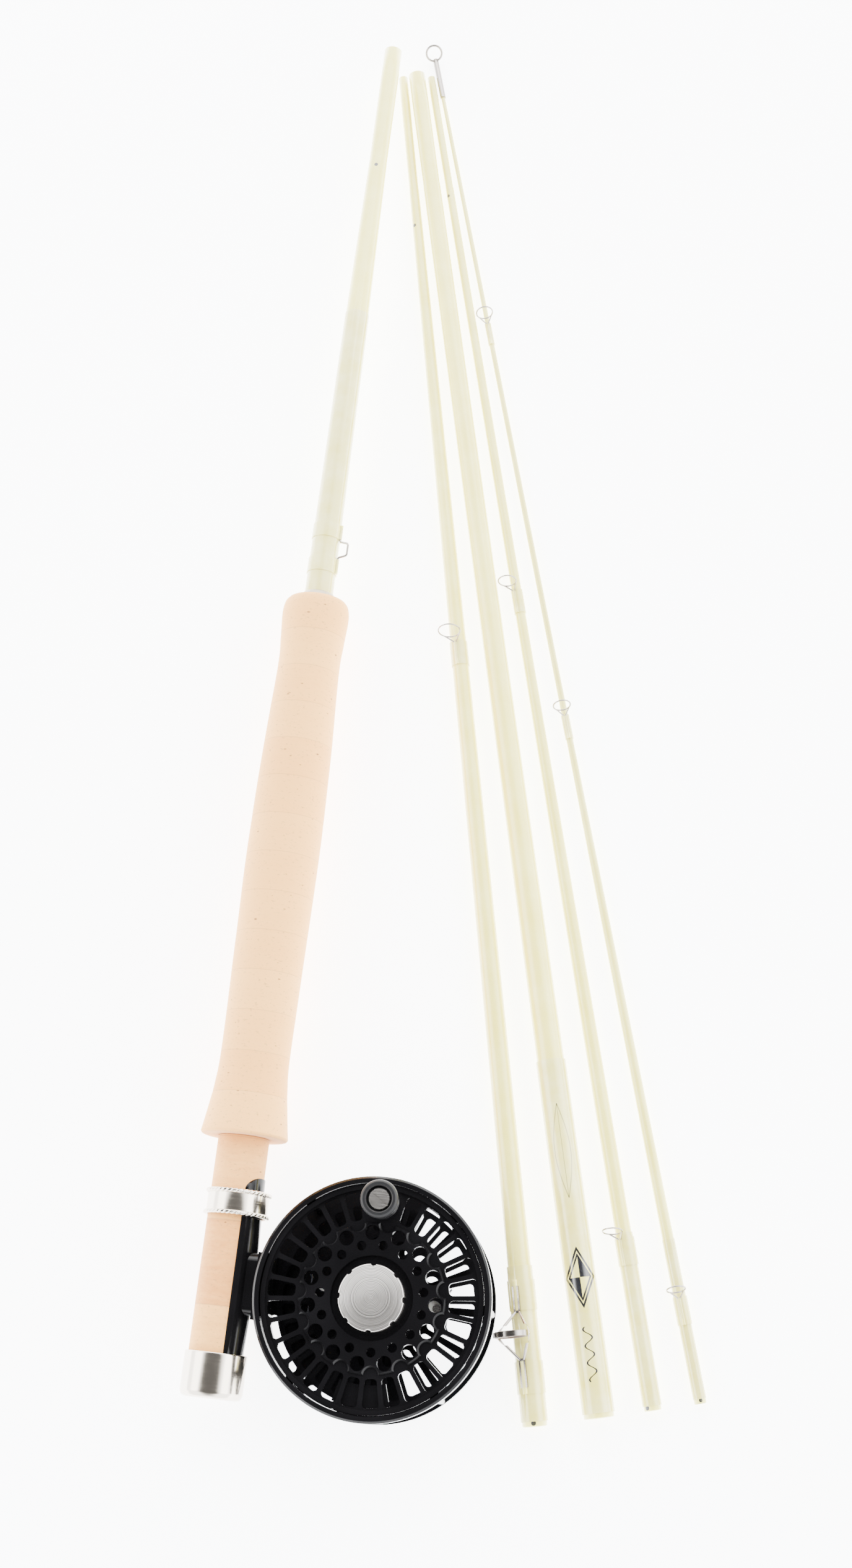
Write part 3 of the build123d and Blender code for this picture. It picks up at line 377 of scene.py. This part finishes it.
def glass_fibre(colours, dots=()):
    """Pale clear-coated glass cloth: faint weave and cloudiness under gloss, with painted dots."""
    finish = Finish("glass_fibre", Roughness=0.32, IOR=1.5, Coat_Weight=1.0, Coat_Roughness=0.03,
                    Subsurface_Weight=0.25, Subsurface_Radius=(0.004, 0.004, 0.002), Subsurface_Scale=1.0)
    cloud = finish.noise(90.0, 3.0)
    weave = finish.noise(2600.0, 1.0)
    shade = finish.ramp(cloud * 0.75 + weave * 0.25, 0.3, 0.7)
    colour = finish.mix(shade, colours.blank_shade, colours.blank)
    for point, radius in dots:
        colour = finish.mix(finish.near(point, radius), colour, colours.ink)
    finish.set("Base Color", colour)
    finish.bump(weave, 0.00002, 0.4)
    return finish.material


def varnish(colours, name="varnish", marks=None):
    """Clear epoxy over pale cloth or thread: a faint cloudiness and a fine noise bump under a wet gloss."""
    finish = Finish(name, Roughness=0.12, IOR=1.53, Coat_Weight=1.0, Coat_Roughness=0.02,
                    Subsurface_Weight=0.3, Subsurface_Radius=(0.004, 0.004, 0.002), Subsurface_Scale=1.0)
    cloud = finish.noise(140.0, 3.0)
    colour = finish.mix(finish.ramp(cloud, 0.3, 0.7), colours.varnish_shade, colours.varnish)
    if marks is not None:
        colour = marks(finish, colour)
    finish.set("Base Color", colour)
    finish.bump(finish.noise(500.0, 2.0), 0.00006, 0.35)
    return finish.material


def cork(colours, name, tint, pitch, start):
    """Cork: its rings differ in tone, with pale grain, brown flecks and dark open pits."""
    finish = Finish(name, Roughness=0.78, Specular_IOR_Level=0.25, Sheen_Weight=0.12)
    station = finish.station()
    ring = ((station - start) / pitch).math("FLOOR")
    ring_tone = finish.node("TexWhiteNoise", {"noise_dimensions": "1D"}, output="Value", W=ring + 3.0)
    grain = finish.noise(420.0, 5.0, finish.stretched(1.0, 2.4, 1.0))
    fleck = finish.noise(900.0, 4.0, finish.stretched(1.0, 1.8, 1.0))
    streak = finish.noise(150.0, 3.0, finish.stretched(0.5, 4.0, 0.5))
    cells = finish.node("TexVoronoi", output="Distance", Vector=finish.stretched(0.7, 1.6, 0.7), Scale=260.0)
    pit = 1.0 - finish.ramp(cells + finish.noise(700.0, 2.0) * 0.35, 0.20, 0.27)
    tone = finish.ramp(ring_tone * 0.45 + grain * 0.35 + streak * 0.4, 0.25, 0.95)
    colour = finish.mix(tone, tint, colours.cork_light)
    colour = finish.mix(finish.ramp(fleck, 0.60, 0.72) * 0.55, colour, colours.cork_fleck)
    colour = finish.mix(pit * 0.8, colour, colours.cork_pit)
    seam = abs(((station - start) / pitch).math("FRACT") - 0.5)
    joint = finish.ramp(seam, 0.485, 0.499)
    colour = finish.mix(joint * 0.35, colour, colours.cork_fleck)
    finish.set("Base Color", colour)
    finish.bump(grain * 0.5 - pit * 1.0 - joint * 0.4, 0.00012, 0.6)
    return finish.material


def polished(name, colour, roughness, scale=900.0):
    """Bright metal: hairline turning marks that only change the gloss a little."""
    finish = Finish(name, Base_Color=colour, Metallic=1.0)
    hair = finish.noise(scale, 3.0, finish.stretched(0.15, 3.0, 0.15))
    smear = finish.noise(60.0, 3.0)
    finish.set("Roughness", hair * roughness * 0.9 + smear * roughness * 0.6 + roughness * 0.3)
    finish.bump(hair, 0.00001, 0.25)
    return finish.material


def anodised(name, colour, roughness):
    """Gloss black anodised aluminium, slightly uneven, with a fine satin tooth."""
    finish = Finish(name, Base_Color=colour, IOR=1.5, Specular_IOR_Level=0.16, Coat_Weight=0.04,
                    Coat_Roughness=0.08)
    tooth = finish.noise(1400.0, 2.0)
    smear = finish.noise(55.0, 3.0)
    finish.set("Roughness", tooth * 0.05 + smear * 0.05 + roughness)
    worn = tuple(c * 1.9 for c in colour)
    finish.set("Base Color", finish.mix(finish.ramp(smear, 0.3, 0.75), colour, worn))
    finish.bump(tooth, 0.000008, 0.3)
    return finish.material


def turned_face(name, colour):
    """Spun metal face: fine circles about the spool's axis."""
    finish = Finish(name, Metallic=1.0)
    flat = finish.node("VectorMath", {"operation": "MULTIPLY"}, _0=finish.position(), _1=(1.0, 1.0, 0.0))
    radius = finish.node("VectorMath", {"operation": "LENGTH"}, output="Value", _0=flat)
    circles = (radius * 2 * pi / 0.00045).math("SINE")
    coarse = finish.node("TexNoise", {"noise_dimensions": "1D"}, output="Fac", W=radius, Scale=2600.0,
                         Detail=2.0)
    finish.set("Roughness", coarse * 0.22 + 0.20)
    finish.set("Base Color", finish.mix(coarse, tuple(c * 0.72 for c in colour), colour))
    finish.bump(circles * 0.5 + coarse * 0.4, 0.00003, 1.0)
    return finish.material


def plain(name, colour, roughness, scale=700.0, bump=0.00004, shine=0.5):
    """Moulded or blued material: a soft mottle in colour and gloss."""
    finish = Finish(name, Specular_IOR_Level=shine)
    mottle = finish.noise(scale, 3.0)
    dark, light = (tuple(c * part for c in colour) for part in (0.75, 1.2))
    finish.set("Base Color", finish.mix(mottle, dark, light))
    finish.set("Roughness", mottle * 0.15 + roughness)
    finish.bump(mottle, bump, 0.3)
    return finish.material


# ---------------------------------------------------------------- settings
class FLYROD_PG_colours(bpy.types.PropertyGroup):
    """Colours of the finishes."""

    blank: FloatVectorProperty(
        name="Blank", description="Pale ivory of the glass-fibre blanks", subtype="COLOR",
        size=3, min=0.0, max=1.0, default=(0.89, 0.82, 0.24))
    blank_shade: FloatVectorProperty(
        name="Blank shade", description="Slightly greener ivory in the cloudy parts", subtype="COLOR",
        size=3, min=0.0, max=1.0, default=(0.80, 0.71, 0.13))
    varnish: FloatVectorProperty(
        name="Varnish", description="Pale thread under clear epoxy", subtype="COLOR",
        size=3, min=0.0, max=1.0, default=(0.89, 0.82, 0.29))
    varnish_shade: FloatVectorProperty(
        name="Varnish shade", description="Thread where the epoxy is thick", subtype="COLOR",
        size=3, min=0.0, max=1.0, default=(0.80, 0.71, 0.15))
    ink: FloatVectorProperty(
        name="Ink", description="Painted dots and marks", subtype="COLOR",
        size=3, min=0.0, max=1.0, default=(0.012, 0.012, 0.014))
    cork_light: FloatVectorProperty(
        name="Cork", description="Pale peach of sanded cork", subtype="COLOR",
        size=3, min=0.0, max=1.0, default=(0.91, 0.48, 0.14))
    cork_deep: FloatVectorProperty(
        name="Cork rings", description="Browner tone of the deeper cork rings", subtype="COLOR",
        size=3, min=0.0, max=1.0, default=(0.85, 0.41, 0.11))
    insert: FloatVectorProperty(
        name="Seat insert", description="Browner cork of the seat insert", subtype="COLOR",
        size=3, min=0.0, max=1.0, default=(0.64, 0.26, 0.065))
    cork_fleck: FloatVectorProperty(
        name="Cork flecks", description="Brown flecks in the cork", subtype="COLOR",
        size=3, min=0.0, max=1.0, default=(0.33, 0.17, 0.08))
    cork_pit: FloatVectorProperty(
        name="Cork pits", description="Dark open pits in the cork", subtype="COLOR",
        size=3, min=0.0, max=1.0, default=(0.10, 0.045, 0.02))
    nickel_silver: FloatVectorProperty(
        name="Nickel silver", description="Warm white metal of the cap and the bands", subtype="COLOR",
        size=3, min=0.0, max=1.0, default=(0.70, 0.63, 0.54))
    guide_wire: FloatVectorProperty(
        name="Guide wire", description="Hard wire of the line guides", subtype="COLOR",
        size=3, min=0.0, max=1.0, default=(0.30, 0.275, 0.25))
    steel: FloatVectorProperty(
        name="Steel", description="Screws and spindle", subtype="COLOR",
        size=3, min=0.0, max=1.0, default=(0.55, 0.52, 0.49))
    anodised: FloatVectorProperty(
        name="Anodised black", description="Gloss black of the reel", subtype="COLOR",
        size=3, min=0.0, max=1.0, default=(0.0022, 0.0021, 0.0024))
    knob: FloatVectorProperty(
        name="Knob", description="Dark grey of the handle knob", subtype="COLOR",
        size=3, min=0.0, max=1.0, default=(0.006, 0.006, 0.0066))
    floor: FloatVectorProperty(
        name="Floor", description="Plain pale floor", subtype="COLOR",
        size=3, min=0.0, max=1.0, default=(0.86, 0.87, 0.88))


class FLYROD_PG_stage(bpy.types.PropertyGroup):
    """Camera and lights."""

    lens: FloatProperty(
        name="Lens", description="Focal length on a 36 mm high sensor", default=48.34, unit="CAMERA")
    camera_place: FloatVectorProperty(
        name="Camera place", description="Where the camera stands", subtype="TRANSLATION",
        size=3, default=(0.0813, -0.0362, 0.7044))
    tilt: FloatProperty(
        name="Tilt", description="Tilt from plumb towards the rod's tips", subtype="ANGLE",
        default=radians(17.5))
    side_tilt: FloatProperty(
        name="Side tilt", description="Tilt towards the butt section", subtype="ANGLE", default=radians(5.0))
    turn: FloatProperty(
        name="Turn", description="Turn of the view about plumb", subtype="ANGLE", default=radians(6.47))
    sky: FloatProperty(
        name="Sky", description="Strength of the even light from all round", min=0.0, default=6.6)
    opening: FloatProperty(
        name="Opening", description="Half angle of the tent's dark opening straight above", subtype="ANGLE",
        default=radians(38))
    opening_lean: FloatProperty(
        name="Opening lean", description="How far the opening leans towards the butt", subtype="ANGLE",
        default=radians(14))
    floor_glow: FloatProperty(
        name="Floor glow", description="Light that comes up through the white floor", min=0.0, default=8.0)
    overhead: FloatProperty(
        name="Far light", description="Power of the light beyond the tips", unit="POWER", default=16.0)
    side: FloatProperty(
        name="Side light", description="Power of each side light", unit="POWER", default=11.0)


class FLYROD_PG_build(bpy.types.PropertyGroup):
    """Sizes of the fine work."""

    edge_round: FloatProperty(
        name="Edge rounding", description="Broken edge on the reel's machined parts", unit="LENGTH",
        default=0.16 * MM)
    strands: IntProperty(
        name="Rope strands", description="Slanted beads on a rope-edged ring", min=12, max=80, default=40)


def colours():
    return bpy.context.scene.flyrod_colours


def sizes():
    return bpy.context.scene.flyrod_build


# ---------------------------------------------------------------- pieces
def alignment_dots():
    """Painted dots at the ferrules: (point, radius) on the side that faces up."""
    places = (("third", 1.0, 3, 0.8), ("third", 441.2, 35, 0.7), ("fourth", 1.0, 39, 0.75),
              ("fourth", 451.9, 39, 0.65), ("tip", 1.0, -5, 0.6), ("butt", 452, 0, 0.7))
    dots = []
    for name, station, roll, size in places:
        line = LINES[name]
        out = line.outward(roll) * radius_at(BLANKS[name], station) * MM
        dots.append((line.at(station * MM) + out, size * MM))
    return dots


def second_marks(finish, colour):
    """Generic marks on the second section's coat, on the side that faces up.

    A chequered lozenge: |s| / length + |t| / width under 1, less a thin line and two opposite quarters.
    A wavy line: |t - a sin(2 pi s / pitch)| under half its width.  A slender leaf: two mirrored arcs
    a sin(pi s / length) with a midrib.  s runs along the section from each mark's middle or start, and
    t across it.
    """
    line = LINES["second"]
    station = finish.along(line.along, line.lower)
    across = finish.along(line.left, line.lower)
    upper = finish.along(line.up, line.lower) > 0.0
    lozenge = abs(station - 0.0436) / 0.0098 + abs(across) / 0.0047
    quarters = ((station - 0.0436) * across > 0.0) * (lozenge < 0.66)
    inner_line = (lozenge > 0.78) * (lozenge < 0.86)
    badge = (lozenge < 1.0) * (1.0 - inner_line) * (1.0 - quarters)
    swing = (station * (2 * pi / 0.0052)).math("SINE") * 0.0013
    wave = (abs(across - swing) < 0.00026) * (abs(station - 0.0196) < 0.0085)
    arc = ((station - 0.0690) * (pi / 0.0310)).math("SINE") * 0.0026
    span = abs(station - 0.0845) < 0.0155
    leaf = (abs(abs(across) - arc) < 0.00014) + (abs(across) < 0.00010)
    ink = (badge + wave + leaf * span * 0.6) * upper
    return finish.mix(ink.math("MINIMUM", 1.0), colour, colours().ink)


class FLYROD_OT_blanks(bpy.types.Operator):
    """Five glass-fibre blanks, turned with their bores"""

    bl_idname = "flyrod.blanks"
    bl_label = "Blanks"

    def execute(self, context):
        fibre = glass_fibre(colours(), alignment_dots())
        for name, outer in BLANKS.items():
            bore_r, bore_end = SOCKETS[name]
            low, top = outer[0][1], outer[-1][1]
            wall_top = outer[-1][0] * 0.62
            inner = [(bore_r, low), (bore_r, bore_end + 0.01), (bore_r * 0.85, bore_end + 6), (wall_top, top)]
            lip = 0.25
            corners = ([(inner[0][0] + lip, low), (outer[0][0] - lip, low), (outer[0][0], low + lip)]
                       + outer[1:-1] + [(outer[-1][0], top - lip), (outer[-1][0] - lip, top), (wall_top, top)]
                       + inner[-2::-1][:-1] + [(bore_r, low + lip)])
            fine = []
            for (r_a, s_a), (r_b, s_b) in zip(corners, corners[1:] + corners[:1]):
                steps = max(1, int(abs(s_b - s_a) / 12))
                share = np.arange(steps)[:, None] / steps
                fine.append(np.array([[r_a, s_a]]) + share * np.array([[r_b - r_a, s_b - s_a]]))
            points, stations = turned(LINES[name], np.concatenate(fine), 48)
            Shell().grid(points, stations, closed=True).build(
                name + "_blank_surface", fibre, BODIES[name], "glass_fibre", (name + "_blank",))
        return {"FINISHED"}


class FLYROD_OT_grip(bpy.types.Operator):
    """Cork grip and seat insert"""

    bl_idname = "flyrod.grip"
    bl_label = "Cork"

    def execute(self, context):
        look = colours()
        grip_cork = cork(look, "cork", look.cork_deep, GRIP_PITCH * MM, GRIP_START * MM)
        insert_cork = cork(look, "insert_cork", look.insert, 27 * MM, 1.6 * MM)
        outline = spline_points(GRIP_PROFILE, 220)
        bore = [(4.97, GRIP_END - 0.05), (5.32, GRIP_START), (13.7, GRIP_START), (14.15, GRIP_START + 0.15)]
        profile = np.concatenate([outline, bore])

        def worn(radius, station, angle):
            """Shallow hollows between glued rings and a slow unevenness, always inwards."""
            phase = (station - GRIP_START) / GRIP_PITCH
            seam = np.exp(-((phase - np.round(phase)) * GRIP_PITCH / 0.22) ** 2) * 0.05
            wave = 0.03 * (1 + np.sin(3 * angle + station * 0.13) * np.cos(2 * angle - station * 0.07))
            return np.where(radius > 8, radius - seam - wave, radius)

        points, stations = turned(LINES["butt"], profile, 96, worn)
        Shell().grid(points, stations, closed=True).build(
            "cork_grip_surface", grip_cork, "butt_section", "cork", ("cork_grip",))
        insert = rounded([(6.62, 1.65), (8.46, 1.65), (8.46, 83.15), (6.62, 83.15)], 0.4)
        points, stations = turned(LINES["butt"], insert, 72)
        Shell().grid(points, stations, closed=True).build(
            "seat_insert_surface", insert_cork, "butt_section", "insert_cork", ("seat_insert",))
        return {"FINISHED"}


class FLYROD_OT_seat_metal(bpy.types.Operator):
    """Pocket cap, sliding band, rope-edged rings and winding check"""

    bl_idname = "flyrod.seat_metal"
    bl_label = "Seat metal"

    def execute(self, context):
        silver = polished("nickel_silver", colours().nickel_silver, 0.16)
        dull = polished("worn_silver", (0.42, 0.36, 0.28), 0.34)
        cap_line = LINES["butt"].shifted((0.6 * MM, 0, 0))
        cap = rounded([(0.01, 0.02), (8.3, 0.02), (9.5, 0.45), (10.13, 1.9), (10.13, 12.6), (10.13, 14.18),
                       (9.47, 14.18), (9.47, 1.3), (0.01, 1.3)], 0.45, 5)
        points, stations = turned(cap_line, cap, 96)
        Shell().grid(points, stations, closed=True).build(
            "butt_cap_surface", silver, "butt_section", "nickel_silver", ("butt_cap",))
        band_line = LINES["butt"].shifted((0.9 * MM, 0, 0))
        band = rounded([(9.52, 57.42), (10.03, 57.42), (10.03, 65.68), (9.52, 65.68)], 0.12)
        points, stations = turned(band_line, band, 96)
        Shell().grid(points, stations, closed=True).build(
            "slide_band_surface", silver, "band", "nickel_silver", ("slide_band",))
        strands = sizes().strands

        def twisted(radius, station, angle):
            """Slanted beads: the outside swells with the sine of strands x angle, shifted along."""
            bead = np.abs(np.sin(strands / 2 * angle + (station - station.min()) * 2.1)) ** 0.7
            crown = np.clip((radius - 10.1) / 0.5, 0, 1)
            return radius - 0.34 * crown * (1 - bead)

        rings = Shell()
        for start in (57.4, 65.7 - 1.35):
            ring = rounded([(10.06, start), (10.45, start), (10.83, start + 0.3), (10.83, start + 1.05),
                            (10.45, start + 1.35), (10.06, start + 1.35)], 0.25, 5)
            points, stations = turned(band_line, ring, strands * 8, twisted)
            rings.grid(points, stations, closed=True)
        rings.build("band_rope_rings_surface", silver, "band", "nickel_silver", ("band_rope_rings",))
        check = rounded([(4.97, 273.72), (6.28, 273.72), (6.28, 275.25), (5.6, 276.75), (4.97, 276.75)], 0.3)
        points, stations = turned(LINES["butt"], check, 72)
        Shell().grid(points, stations, closed=True).build(
            "winding_check_surface", dull, "butt_section", "nickel_silver", ("winding_check",))
        return {"FINISHED"}


def soften(piece, width):
    """Weld a machined part's mesh and break its sharp edges."""
    weld = piece.modifiers.new("weld", "WELD")
    weld.merge_threshold = WELD_DISTANCE
    bevel = piece.modifiers.new("edges", "BEVEL")
    bevel.width = width
    bevel.segments = 2
    bevel.limit_method = "ANGLE"
    bevel.angle_limit = BEVEL_ANGLE
    bevel.harden_normals = True
    piece.data.polygons.foreach_set("use_smooth", np.ones(len(piece.data.polygons), bool))


def smooth_cad(piece):
    """Weld a CAD part's loose triangles and shade it smooth between its sharp edges."""
    weld = piece.modifiers.new("weld", "WELD")
    weld.merge_threshold = WELD_DISTANCE
    split = piece.modifiers.new("sharp", "EDGE_SPLIT")
    split.split_angle = SHARP_ANGLE
    piece.data.polygons.foreach_set("use_smooth", np.ones(len(piece.data.polygons), bool))


def paint(piece, finish):
    """Give an object a single finish."""
    piece.data.materials.clear()
    piece.data.materials.append(finish)


class FLYROD_OT_reel(bpy.types.Operator):
    """Finishes of the reel's machined parts, its pawls, gear and screws"""

    bl_idname = "flyrod.reel"
    bl_label = "Reel"

    def execute(self, context):
        look = colours()
        black = anodised("black_anodised", tuple(look.anodised), 0.10)
        steel = polished("steel", look.steel, 0.24)
        blued = plain("spring_steel", (0.10, 0.10, 0.12), 0.35)
        acetal = plain("acetal", (0.78, 0.77, 0.72), 0.45)
        bronze = polished("bronze", (0.60, 0.42, 0.22), 0.28)
        rubber = plain("rubber", (0.015, 0.015, 0.015), 0.6)
        nodes = frame["nodes"]
        groups = (
            (black, ("reel_frame", "spool", "reel_foot", "handle_washer", "counterweight")),
            (steel, ("foot_screws", "spindle", "spindle_screws", "pawl_posts", "handle_screw",
                     "gear_screws")),
            (blued, ("click_springs",)),
            (acetal, ("click_pawl_front", "click_pawl_rear")),
            (bronze, ("spool_bush", "click_gear")),
            (rubber, ("cap_o_ring",)),
            (turned_face("turned_cap", tuple(look.steel)), ("hub_cap",)),
            (plain("knob", tuple(look.knob), 0.38, shine=0.2), ("handle_knob",)),
            (plain("arbor", (0.55, 0.48, 0.36), 0.8), ("seat_arbors",)),
        )
        for finish, names in groups:
            for name in names:
                paint(nodes[name], finish)
                if name == "hub_cap":
                    soften(nodes[name], sizes().edge_round)
                else:
                    smooth_cad(nodes[name])
        return {"FINISHED"}


class FLYROD_OT_guides(bpy.types.Operator):
    """Finishes of the line guides, hook keeper, wraps and clear coats"""

    bl_idname = "flyrod.guides"
    bl_label = "Guides and wraps"

    def execute(self, context):
        look = colours()
        wire = polished("guide_wire", look.guide_wire, 0.18)
        clear = varnish(look)
        marked = varnish(look, "marked_varnish", second_marks)
        ceramic = plain("guide_ring", (0.12, 0.085, 0.065), 0.12)
        nodes = frame["nodes"]
        for name in ("hook_keeper", "stripping_guide_frame", "third_guide_1", "fourth_guide_1",
                     "fourth_guide_2", "tip_guide_1", "tip_guide_2", "tip_guide_3", "tip_top"):
            paint(nodes[name], wire)
            smooth_cad(nodes[name])
        for name in nodes:
            if name.endswith(("_clear_coat", "_wrap", "_wraps")):
                paint(nodes[name], marked if name == "second_clear_coat" else clear)
                smooth_cad(nodes[name])
        paint(nodes["stripping_guide_ring"], ceramic)
        smooth_cad(nodes["stripping_guide_ring"])
        return {"FINISHED"}


# ---------------------------------------------------------------- stage
class FLYROD_OT_stage(bpy.types.Operator):
    """Pale floor, soft lights and the camera"""

    bl_idname = "flyrod.stage"
    bl_label = "Stage"

    def execute(self, context):
        scene = context.scene
        stage = scene.flyrod_stage
        half = 2.5
        mesh = bpy.data.meshes.new("floor")
        mesh.from_pydata([(-half, -half, 0), (half, -half, 0), (half, half, 0), (-half, half, 0)], [],
                         [(0, 1, 2, 3)])
        floor_finish = Finish("floor", Roughness=0.65, Specular_IOR_Level=0.3,
                              Emission_Strength=stage.floor_glow)
        haze = floor_finish.ramp(floor_finish.noise(3.0, 1.0), 0.3, 0.7)
        shaded = tuple(c * 0.97 for c in colours().floor)
        floor_finish.set("Base Color", floor_finish.mix(haze, colours().floor, shaded))
        floor_finish.set("Emission Color", floor_finish.mix(haze, colours().floor, shaded))
        mesh.materials.append(floor_finish.material)
        floor = bpy.data.objects.new("floor", mesh)
        scene.collection.objects.link(floor)

        world = bpy.data.worlds.new("tent")
        world.use_nodes = True
        tree = world.node_tree
        background = tree.nodes["Background"]
        background.inputs["Color"].default_value = (0.97, 0.985, 1.0, 1.0)
        # a white tent all round, dark at its opening above and towards the butt
        direction = tree.nodes.new("ShaderNodeTexCoord")
        height = tree.nodes.new("ShaderNodeVectorMath")
        height.operation = "DOT_PRODUCT"
        height.inputs[1].default_value = (0.0, -np.sin(stage.opening_lean), np.cos(stage.opening_lean))
        opening = tree.nodes.new("ShaderNodeMapRange")
        opening.interpolation_type = "SMOOTHSTEP"
        opening.inputs["From Min"].default_value = np.cos(stage.opening + radians(9))
        opening.inputs["From Max"].default_value = np.cos(stage.opening - radians(9))
        opening.inputs["To Min"].default_value = stage.sky
        opening.inputs["To Max"].default_value = stage.sky * 0.03
        tree.links.new(direction.outputs["Generated"], height.inputs[0])
        tree.links.new(height.outputs["Value"], opening.inputs["Value"])
        tree.links.new(opening.outputs[0], background.inputs["Strength"])
        scene.world = world

        lights = (
            ("far_wall", (0.05, 1.25, 0.9), (0.0, 0.15, 0.0), (1.4, 0.7), stage.overhead),
            ("left_wall", (-1.1, 0.15, 0.75), (0.0, 0.15, 0.0), (1.2, 0.7), stage.side),
            ("right_wall", (1.2, 0.15, 0.75), (0.0, 0.15, 0.0), (1.2, 0.7), stage.side),
        )
        for name, place, aim, size, power in lights:
            lamp = bpy.data.lights.new(name, "AREA")
            lamp.shape = "RECTANGLE"
            lamp.size, lamp.size_y = size
            lamp.energy = power
            lamp.color = (1.0, 0.985, 0.96)
            holder = bpy.data.objects.new(name, lamp)
            holder.location = place
            away = np.array(aim) - np.array(place)
            yaw = np.arctan2(away[1], away[0]) - pi / 2
            dip = np.arccos(-away[2] / np.linalg.norm(away))
            holder.rotation_euler = Euler((dip, 0.0, yaw))
            scene.collection.objects.link(holder)

        lens = bpy.data.cameras.new("camera")
        lens.sensor_fit = "VERTICAL"
        lens.sensor_height = 36.0
        lens.lens = stage.lens
        lens.clip_start = 0.01
        camera = bpy.data.objects.new("camera", lens)
        camera.location = stage.camera_place
        camera.rotation_euler = Euler((stage.tilt, stage.side_tilt, stage.turn))
        scene.collection.objects.link(camera)
        scene.camera = camera
        return {"FINISHED"}


STEPS = (
    FLYROD_OT_blanks,
    FLYROD_OT_grip,
    FLYROD_OT_seat_metal,
    FLYROD_OT_reel,
    FLYROD_OT_guides,
    FLYROD_OT_stage,
)


class FLYROD_PT_panel(bpy.types.Panel):
    """Sidebar panel that lists the pieces and their settings."""

    bl_label = "Fly Rod"
    bl_idname = "FLYROD_PT_panel"
    bl_space_type = "VIEW_3D"
    bl_region_type = "UI"
    bl_category = "Fly Rod"

    def draw(self, context):
        for step in STEPS:
            self.layout.operator(step.bl_idname)
        for group in (context.scene.flyrod_build, context.scene.flyrod_colours, context.scene.flyrod_stage):
            for name in group.bl_rna.properties.keys():
                if name not in ("rna_type", "name"):
                    self.layout.prop(group, name)


CLASSES = (FLYROD_PG_colours, FLYROD_PG_stage, FLYROD_PG_build, *STEPS, FLYROD_PT_panel)


def register():
    """Register the classes and hang the settings on the scene."""
    for cls in CLASSES:
        bpy.utils.register_class(cls)
    bpy.types.Scene.flyrod_colours = PointerProperty(type=FLYROD_PG_colours)
    bpy.types.Scene.flyrod_stage = PointerProperty(type=FLYROD_PG_stage)
    bpy.types.Scene.flyrod_build = PointerProperty(type=FLYROD_PG_build)


def unregister():
    """Take the settings and the classes away again."""
    del bpy.types.Scene.flyrod_build
    del bpy.types.Scene.flyrod_stage
    del bpy.types.Scene.flyrod_colours
    for cls in reversed(CLASSES):
        bpy.utils.unregister_class(cls)


def main():
    """Make every piece in order."""
    register()
    for step in STEPS:
        area, name = step.bl_idname.split(".")
        getattr(getattr(bpy.ops, area), name)()


if __name__ == "__main__":
    main()
